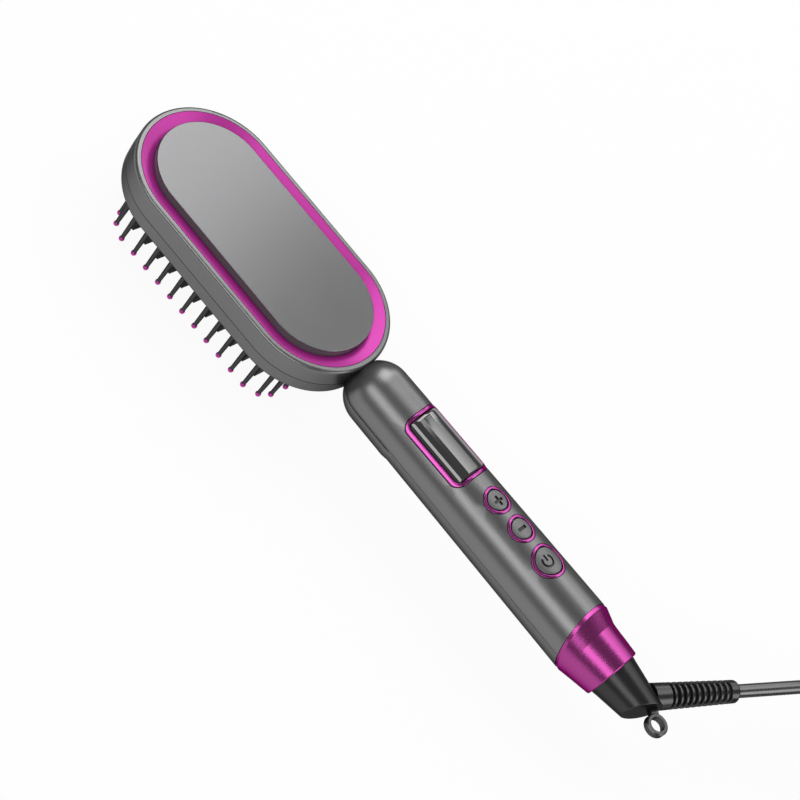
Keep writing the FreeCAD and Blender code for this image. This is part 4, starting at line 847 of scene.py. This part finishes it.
def screw_tree(material):
    """Screws with a chamfered head and a cross recess, heads down on their places."""
    face_share = 0.86
    slot_share = 0.62
    tree, given, leave = open_growth("Cross Screws", "Head Radius", "Head Height", "Shank Radius", "Length",
                                     "Slot Width", "Slot Depth")
    head = geo(tree, "MeshCone", {"Vertices": 40, "Radius Top": given["Head Radius"],
                                  "Radius Bottom": calc(tree, "MULTIPLY", given["Head Radius"], face_share),
                                  "Depth": given["Head Height"]})
    recessed = add(tree, "GeometryNodeMeshBoolean", {"Mesh 1": head}, operation="DIFFERENCE")
    slot_length = calc(tree, "MULTIPLY", given["Head Radius"], 2.0 * slot_share)
    slot_height = calc(tree, "MULTIPLY", given["Slot Depth"], 2.0)
    for first, second in ((slot_length, given["Slot Width"]), (given["Slot Width"], slot_length)):
        slot = geo(tree, "MeshCube", {"Size": vector(tree, X=first, Y=second, Z=slot_height)})
        tree.links.new(slot, recessed.inputs["Mesh 2"])
    shank_length = calc(tree, "SUBTRACT", given["Length"], given["Head Height"])
    shank = geo(tree, "MeshCylinder",
                {"Vertices": 24, "Radius": given["Shank Radius"], "Depth": shank_length})
    shank_middle = calc(tree, "MULTIPLY_ADD", shank_length, 0.5, given["Head Height"])
    lifted = geo(tree, "Transform", {"Geometry": shank, "Translation": vector(tree, Z=shank_middle)})
    screw = add(tree, "GeometryNodeJoinGeometry")
    for part in (recessed.outputs[0], lifted):
        tree.links.new(part, screw.inputs[0])
    return close_growth(tree, leave, on_places(tree, given, screw.outputs[0]), material)


def build_screws():
    screw_reach = 0.02
    boxes = solid_boxes("handle_screws", screw_reach)
    low, high = boxes[0]
    screws = grow("cross_screws", screw_tree("plated_screw"), [over_foot(box) for box in boxes],
                  {"Head Radius": (high.x - low.x) / 2, "Head Height": 0.0016, "Shank Radius": 0.0012,
                   "Length": high.z - low.z, "Slot Width": 0.0006, "Slot Depth": 0.0009}, sharp_degrees=30.0)
    settle(screws, "comb", "screw_steel", "handle_screws")


# Lip that closes the gap between the swivel and the collar

def build_lip():
    gap = 0.00015
    cover = 0.0014
    stand = 0.00003
    inner = 0.0088
    slope = 0.15
    widest = 0.00115
    segments = 96
    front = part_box("tail_collar")[1][0] + gap
    edge = half_size("swivel_cap").y + slope * widest + stand
    corners = [(front, inner), (front, edge), (front + cover, edge - slope * cover), (front + cover, inner)]
    shape = bmesh.new()
    rings = [[shape.verts.new((x, radius * math.cos(turn), AXIS_Z + radius * math.sin(turn)))
              for turn in round_turns(segments)] for x, radius in corners]
    skin(shape, rings + rings[:1])
    lip = solid_piece("swivel_lip", shape, "tail_satin")
    settle(lip, "swivel", "tail_black")


# Strain relief

def relief_tree(material):
    """Tapering sleeve that goes over into ribs and a rounded end ring, along +Z."""
    rib_rise = (0.16, 0.36)
    rib_fall = (0.64, 0.84)
    ring_rise = (0.16, 0.3)
    edge = 0.0004
    steps = 640
    sides = 48
    tree, given, leave = open_growth("Ribbed Sleeve", "Length", "Start Radius", "Slope", "Sleeve Length",
                                     "Rib Count", "Rib Pitch", "Core Radius", "End Round")
    along = add(tree, "GeometryNodeSplineParameter").outputs["Length"]
    full = calc(tree, "SUBTRACT", given["Start Radius"], calc(tree, "MULTIPLY", along, given["Slope"]))
    run = calc(tree, "SUBTRACT", along, given["Sleeve Length"])
    ribs = calc(tree, "DIVIDE", run, given["Rib Pitch"])
    phase = calc(tree, "FRACT", ribs)
    on_rib = calc(tree, "SUBTRACT", ramp(tree, phase, *rib_rise), ramp(tree, phase, *rib_fall))
    on_ring = ramp(tree, ribs, *(calc(tree, "ADD", given["Rib Count"], share) for share in ring_rise))
    ribbed = choose(tree, calc(tree, "GREATER_THAN", ribs, given["Rib Count"]), on_rib, on_ring)
    share = calc(tree, "MAXIMUM", ramp(tree, run, -edge, 0.0, 1.0, 0.0), ribbed)
    plain = choose(tree, calc(tree, "LESS_THAN", run, -edge), share, 1.0)
    depth = calc(tree, "SUBTRACT", full, given["Core Radius"])
    left = calc(tree, "SUBTRACT", given["Length"], along)
    turn = add(tree, "ShaderNodeMapRange", {0: left, 1: given["End Round"], 2: 0.0}).outputs[0]
    level = calc(tree, "SQRT", calc(tree, "SUBTRACT", 1.0, calc(tree, "POWER", turn, 2.0)))
    corner = calc(tree, "MULTIPLY", calc(tree, "SUBTRACT", 1.0, level), given["End Round"])
    radius = calc(tree, "SUBTRACT", calc(tree, "MULTIPLY_ADD", plain, depth, given["Core Radius"]), corner)
    sleeve = turned(tree, {"End": vector(tree, Z=given["Length"])}, steps, sides, radius)
    return close_growth(tree, leave, sleeve, material)


def along_cord(distance):
    """Place on the cord's line, so far from where it crosses the handle's axis."""
    return CORD_CROSSING + CORD_ACROSS * distance


def build_relief(sizes):
    smooth_to = 0.0155
    slope = 0.0229
    crossing_radius = 0.00563
    relief = grow("ribbed_relief", relief_tree("relief_sheath"), [(0, 0, 0)],
                  {"Length": RELIEF_REACH - RELIEF_FROM, "Slope": slope,
                   "Start Radius": crossing_radius - slope * RELIEF_FROM,
                   "Sleeve Length": smooth_to - RELIEF_FROM, "Rib Count": float(sizes.rib_count),
                   "Rib Pitch": sizes.rib_pitch, "Core Radius": 0.0034, "End Round": 0.0012},
                  sharp_degrees=60.0)
    turn = UP.rotation_difference(CORD_ACROSS).to_matrix().to_4x4()
    relief.data.transform(Matrix.Translation(along_cord(RELIEF_FROM)) @ turn)
    settle(relief, "swivel", "relief_rubber", "strain_relief")
    return relief


# Cord

def coil_place(turn):
    """Place on the coil after so many turns: spiral in, climb, spiral out, climb, and again."""
    layer_turns = (COIL_TURNS - COIL_CLIMB_TURNS * (COIL_LAYERS - 1)) / COIL_LAYERS
    stage = min(int(turn / (layer_turns + COIL_CLIMB_TURNS)), COIL_LAYERS - 1)
    rest = turn - stage * (layer_turns + COIL_CLIMB_TURNS)
    inward = stage % 2 == 0
    build = layer_turns * COIL_STEP
    height = COIL_BASE + stage * COIL_STEP
    done = min(rest, layer_turns) * COIL_STEP
    radius = COIL_OUTER_RADIUS - done if inward else COIL_OUTER_RADIUS - build + done
    if rest > layer_turns:
        share = (rest - layer_turns) / COIL_CLIMB_TURNS
        swing = COIL_SWING_SHARE * COIL_STEP * math.sin(math.pi * share)
        radius += -swing if inward else swing
        height += COIL_STEP * (1 - math.cos(math.pi * share)) / 2
    angle = math.pi / 2 - 2 * math.pi * turn
    return COIL_MIDDLE + Vector((radius * math.cos(angle), radius * math.sin(angle), height))


def cord_points():
    """Control points of the cord, from inside the relief to inside the plug."""
    points = [along_cord(CORD_FROM), along_cord(RELIEF_REACH), along_cord(CORD_STRAIGHT)]
    points += [Vector(point) for point in LEAD_POINTS]
    count = round(COIL_TURNS * COIL_POINTS_PER_TURN)
    points += [coil_place(index / COIL_POINTS_PER_TURN) for index in range(count + 1)]
    points += [Vector(point) for point in TAIL_POINTS]
    return points


def build_cord():
    line = bpy.data.curves.new("mains_cord", "CURVE")
    line.dimensions = "3D"
    points = cord_points()
    spline = line.splines.new("NURBS")
    spline.points.add(len(points) - 1)
    for target, place in zip(spline.points, points):
        target.co = (*place, 1.0)
    spline.order_u = 3
    spline.use_endpoint_u = True
    spline.resolution_u = 6
    line.bevel_depth = CORD_RADIUS
    line.bevel_resolution = 6
    line.use_fill_caps = True
    cord = place_mesh("mains_cord", line, "cord_sheath")
    settle(cord, "swivel", "cord_rubber", "cord_inner", "cord_lead", "cord_coil", "cord_tail")
    return cord


# Ties round the coil

def strap_tree(material):
    """Flat strap along a rounded rectangle, in the XY plane and about the origin."""
    edge_share = 0.4
    tree, given, leave = open_growth("Coil Strap", "Length", "Width", "Corner", "Thickness", "Strap Width")
    outline = rounded_block(tree, given["Length"], given["Width"], given["Corner"], 10)
    edge = calc(tree, "MULTIPLY", given["Thickness"], edge_share)
    band = rounded_block(tree, given["Thickness"], given["Strap Width"], edge, 4)
    return close_growth(tree, leave, swept(tree, outline, band), material)


def build_ties():
    thickness = 0.0007
    strap_width = 0.0090
    corner = 0.0028
    inner = 0.0199
    outer = 0.0412
    tree = strap_tree("strap_cloth")
    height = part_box("cord_ties")[1][2]
    ties = []
    for index, degrees in enumerate((-135.0, -45.0)):
        tie = grow("coil_strap_%d" % (index + 1), tree, [(0, 0, 0)],
                   {"Length": outer - inner - thickness, "Width": height - thickness, "Corner": corner,
                    "Thickness": thickness, "Strap Width": strap_width})
        stand = Matrix.Rotation(math.pi / 2, 4, "X")
        reach = Matrix.Translation(((inner + outer) / 2, 0, height / 2))
        turn = Matrix.Rotation(math.radians(degrees), 4, "Z")
        tie.data.transform(Matrix.Translation(COIL_MIDDLE) @ turn @ reach @ stand)
        settle(tie, "swivel", "tail_black", "cord_ties")
        ties.append(tie)
    return ties


# Plug

def squared(value, square):
    """Cosine or sine of a rounded rectangle, squarer the higher its power."""
    return math.copysign(abs(value) ** (2 / square), value)


def plug_shell(centre, rear):
    """Plug body lofted through rounded sections, from the cord's collar to the face."""
    segments = 56
    shape = bmesh.new()
    rings = [[shape.verts.new((centre.x + squared(math.cos(turn), square) * half_width, rear - back,
                               centre.z + squared(math.sin(turn), square) * half_height))
              for turn in round_turns(segments)] for back, half_width, half_height, square in PLUG_SECTIONS]
    skin(shape, rings)
    shape.faces.new(rings[0])
    shape.faces.new(rings[-1])
    return solid_piece("plug_shell", shape, "plug_satin", sharp_degrees=50.0)


def build_plug():
    first_ridge = 0.0165
    pitch = 0.0018
    grip_half = 0.0122
    ridge_count = 5
    ridge_segments = 16
    centre = middle("plug_body")
    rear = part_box("plug_body")[1][1]
    shell = plug_shell(centre, rear)
    settle(shell, "swivel", "tail_black", "plug_body")
    places = [(centre.x + side * grip_half, rear - first_ridge - pitch * index, centre.z)
              for side in (-1, 1) for index in range(ridge_count)]
    ridges = grow("plug_ridges", ball_tree("Grip Ridges", ridge_segments, "plug_satin"), places,
                  {"Ball Radius": 0.00065, "Ball Height": 0.0042})
    settle(ridges, "swivel", "tail_black")
    return [shell, ridges]


# Stage

def aim(place, target):
    """Matrix at a place whose -Z looks at a target and whose X stays level with the world's X."""
    back = (place - target).normalized()
    right = (Vector((1.0, 0.0, 0.0)) - back * back.x).normalized()
    return axes_at(place, right, back.cross(right), back)


def axes_at(place, right, up, back):
    """Matrix at a place, with its three axes."""
    return Matrix.Translation(place) @ Matrix((right, up, back)).transposed().to_4x4()


def lamp(name, place, target, length, width, radiance, fade=None):
    """Soft rectangular lamp, even or fading across its width."""
    light = bpy.data.lights.new(name, "AREA")
    light.shape = "RECTANGLE"
    light.size = length
    light.size_y = width
    light.energy = radiance * math.pi * length * width
    if fade:
        light.use_nodes = True
        tree = light.node_tree
        spot = add(tree, "ShaderNodeNewGeometry").outputs["Parametric"]
        across = add(tree, "ShaderNodeSeparateXYZ", {0: spot}).outputs["Y"]
        share = add(tree, "ShaderNodeMapRange", {0: across, 3: fade[0], 4: fade[1]}).outputs[0]
        feed(tree, tree.nodes["Emission"].inputs["Strength"], share)
    holder = bpy.data.objects.new(name, light)
    holder.matrix_world = aim(Vector(place), Vector(target))
    bpy.context.scene.collection.objects.link(holder)


def panel(name, degrees, distance, x, target_x, *rest):
    """Lamp over the handle's axis, tilted from upright towards +Y."""
    turn = math.radians(degrees)
    place = (x, distance * math.sin(turn), AXIS_Z + distance * math.cos(turn))
    lamp(name, place, (target_x, 0.0, AXIS_Z), *rest)


def floor_white():
    """White ground that keeps a light shadow: nearly pure white to the camera, and clear from below."""
    seen_share = 0.93
    gloss_share = 0.55
    tree = blank_material("floor_white")
    plain = add(tree, "ShaderNodeBsdfDiffuse", {"Color": (0.9, 0.9, 0.9, 1.0)})
    white = add(tree, "ShaderNodeEmission", {"Color": (1.0, 1.0, 1.0, 1.0), "Strength": 1.0})
    path = add(tree, "ShaderNodeLightPath").outputs
    in_gloss = calc(tree, "MAXIMUM", path["Is Glossy Ray"], path["Is Transmission Ray"])
    gloss = calc(tree, "MULTIPLY", in_gloss, gloss_share)
    share = calc(tree, "MULTIPLY_ADD", path["Is Camera Ray"], seen_share, gloss)
    ground = add(tree, "ShaderNodeMixShader", {0: share, 1: plain.outputs[0], 2: white.outputs[0]})
    behind = add(tree, "ShaderNodeNewGeometry").outputs["Backfacing"]
    unseen = calc(tree, "MULTIPLY", behind, path["Is Camera Ray"])
    clear = add(tree, "ShaderNodeBsdfTransparent")
    shown = add(tree, "ShaderNodeMixShader", {0: unseen, 1: ground.outputs[0], 2: clear.outputs[0]})
    add(tree, "ShaderNodeOutputMaterial", {"Surface": shown.outputs[0]})


def build_floor():
    half = 6.0
    mesh = bpy.data.meshes.new("floor")
    mesh.from_pydata([(-half, -half, 0.0), (half, -half, 0.0), (half, half, 0.0), (-half, half, 0.0)], [],
                     [(0, 1, 2, 3)])
    floor_white()
    place_mesh("floor", mesh, "floor_white")


def build_light(scene):
    world = bpy.data.worlds.new("studio")
    world.use_nodes = True
    sky = world.node_tree.nodes["Background"]
    sky.inputs["Color"].default_value = (1.0, 1.0, 1.0, 1.0)
    sky.inputs["Strength"].default_value = 0.2
    scene.world = world
    # Tilt, distance, place and target along X, then length, width, radiance and fade
    panel("near_panel", -47.5, 1.4, 0.0, 0.03, 2.2, 0.64, 2.3)
    panel("far_panel", 45.0, 1.3, 0.255, 0.255, 0.77, 1.14, 1.93, (1.28, 0.33))
    panel("head_panel", 30.0, 1.25, -0.775, -0.775, 0.9, 1.2, 3.0)
    panel("ring_panel", 66.0, 1.3, -0.31, -0.31, 0.38, 0.45, 2.2)
    panel("neck_panel", 15.0, 1.3, -0.22, -0.22, 0.2, 0.36, 1.3)
    lamp("tail_panel", (1.6, 0.27, 0.5), (0.17, 0.06, AXIS_Z), 0.9, 0.9, 2.3)


def build_camera(scene):
    camera = bpy.data.cameras.new("camera")
    camera.lens = CAMERA_LENS
    camera.sensor_width = CAMERA_SENSOR
    camera.sensor_fit = "HORIZONTAL"
    right = CAMERA_RIGHT.normalized()
    back = right.cross(CAMERA_UP).normalized()
    holder = bpy.data.objects.new("camera", camera)
    holder.matrix_world = axes_at(CAMERA_PLACE, right, back.cross(right), back)
    scene.collection.objects.link(holder)
    scene.camera = holder
    scene.view_settings.view_transform = "Standard"


# Operators, one for each piece or group of like pieces

class COMB_OT_finishes(bpy.types.Operator):
    """Make the finishes and dress the frame's own pieces with them"""

    bl_idname = "comb.finishes"
    bl_label = "Finishes"

    def execute(self, context):
        make_finishes(context.scene.comb_colours)
        for finish, nodes in NODE_FINISHES.items():
            for node in nodes:
                materials = frame["nodes"][node].data.materials
                materials.clear()
                materials.append(bpy.data.materials[finish])
        return {"FINISHED"}


class COMB_OT_cord(bpy.types.Operator):
    """Build the cord with its relief, ties and plug"""

    bl_idname = "comb.cord"
    bl_label = "Cord, relief and plug"

    def execute(self, context):
        relief = build_relief(context.scene.comb_sizes)
        cord = build_cord()
        ties = build_ties()
        plug = build_plug()
        return {"FINISHED"}


class COMB_OT_bristles(bpy.types.Operator):
    """Build the bristles and their ball tips"""

    bl_idname = "comb.bristles"
    bl_label = "Bristles"

    def execute(self, context):
        build_bristles(context.scene.comb_sizes)
        return {"FINISHED"}


class COMB_OT_beads(bpy.types.Operator):
    """Build the trim beads round the window and the buttons"""

    bl_idname = "comb.beads"
    bl_label = "Trim beads"

    def execute(self, context):
        build_beads(context.scene.comb_sizes)
        return {"FINISHED"}


class COMB_OT_pane(bpy.types.Operator):
    """Build the window's pane with its rounded rim"""

    bl_idname = "comb.pane"
    bl_label = "Window pane"

    def execute(self, context):
        build_pane(context.scene.comb_sizes)
        return {"FINISHED"}


class COMB_OT_buttons(bpy.types.Operator):
    """Build the three buttons with their sunk signs"""

    bl_idname = "comb.buttons"
    bl_label = "Buttons"

    def execute(self, context):
        build_buttons(context.scene.comb_sizes)
        return {"FINISHED"}


class COMB_OT_screws(bpy.types.Operator):
    """Build the screws in the handle's back"""

    bl_idname = "comb.screws"
    bl_label = "Screws"

    def execute(self, context):
        build_screws()
        return {"FINISHED"}


class COMB_OT_lip(bpy.types.Operator):
    """Build the lip at the swivel's front edge"""

    bl_idname = "comb.lip"
    bl_label = "Swivel lip"

    def execute(self, context):
        build_lip()
        return {"FINISHED"}


class COMB_OT_stage(bpy.types.Operator):
    """Set the floor, the light and the camera"""

    bl_idname = "comb.stage"
    bl_label = "Stage"

    def execute(self, context):
        build_floor()
        build_light(context.scene)
        build_camera(context.scene)
        return {"FINISHED"}


STEPS = ("stage", "finishes", "cord", "bristles", "beads", "pane", "buttons", "screws", "lip")


class COMB_PT_panel(bpy.types.Panel):
    """Lists the comb's building steps and their sizes and colours"""

    bl_idname = "COMB_PT_panel"
    bl_label = "Straightening Comb"
    bl_space_type = "VIEW_3D"
    bl_region_type = "UI"
    bl_category = "Comb"

    def draw(self, context):
        for step in STEPS:
            self.layout.operator("comb." + step)
        for group in (context.scene.comb_sizes, context.scene.comb_colours):
            for name in group.bl_rna.properties.keys():
                if name not in ("rna_type", "name"):
                    self.layout.prop(group, name)


CLASSES = (CombSizes, CombColours, COMB_OT_finishes, COMB_OT_cord, COMB_OT_bristles, COMB_OT_beads,
           COMB_OT_pane, COMB_OT_buttons, COMB_OT_screws, COMB_OT_lip, COMB_OT_stage, COMB_PT_panel)


def register():
    for item in CLASSES:
        bpy.utils.register_class(item)
    bpy.types.Scene.comb_sizes = bpy.props.PointerProperty(type=CombSizes)
    bpy.types.Scene.comb_colours = bpy.props.PointerProperty(type=CombColours)


def unregister():
    del bpy.types.Scene.comb_colours
    del bpy.types.Scene.comb_sizes
    for item in reversed(CLASSES):
        bpy.utils.unregister_class(item)


def main():
    register()
    for step in STEPS:
        getattr(bpy.ops.comb, step)()


if __name__ == "__main__":
    main()
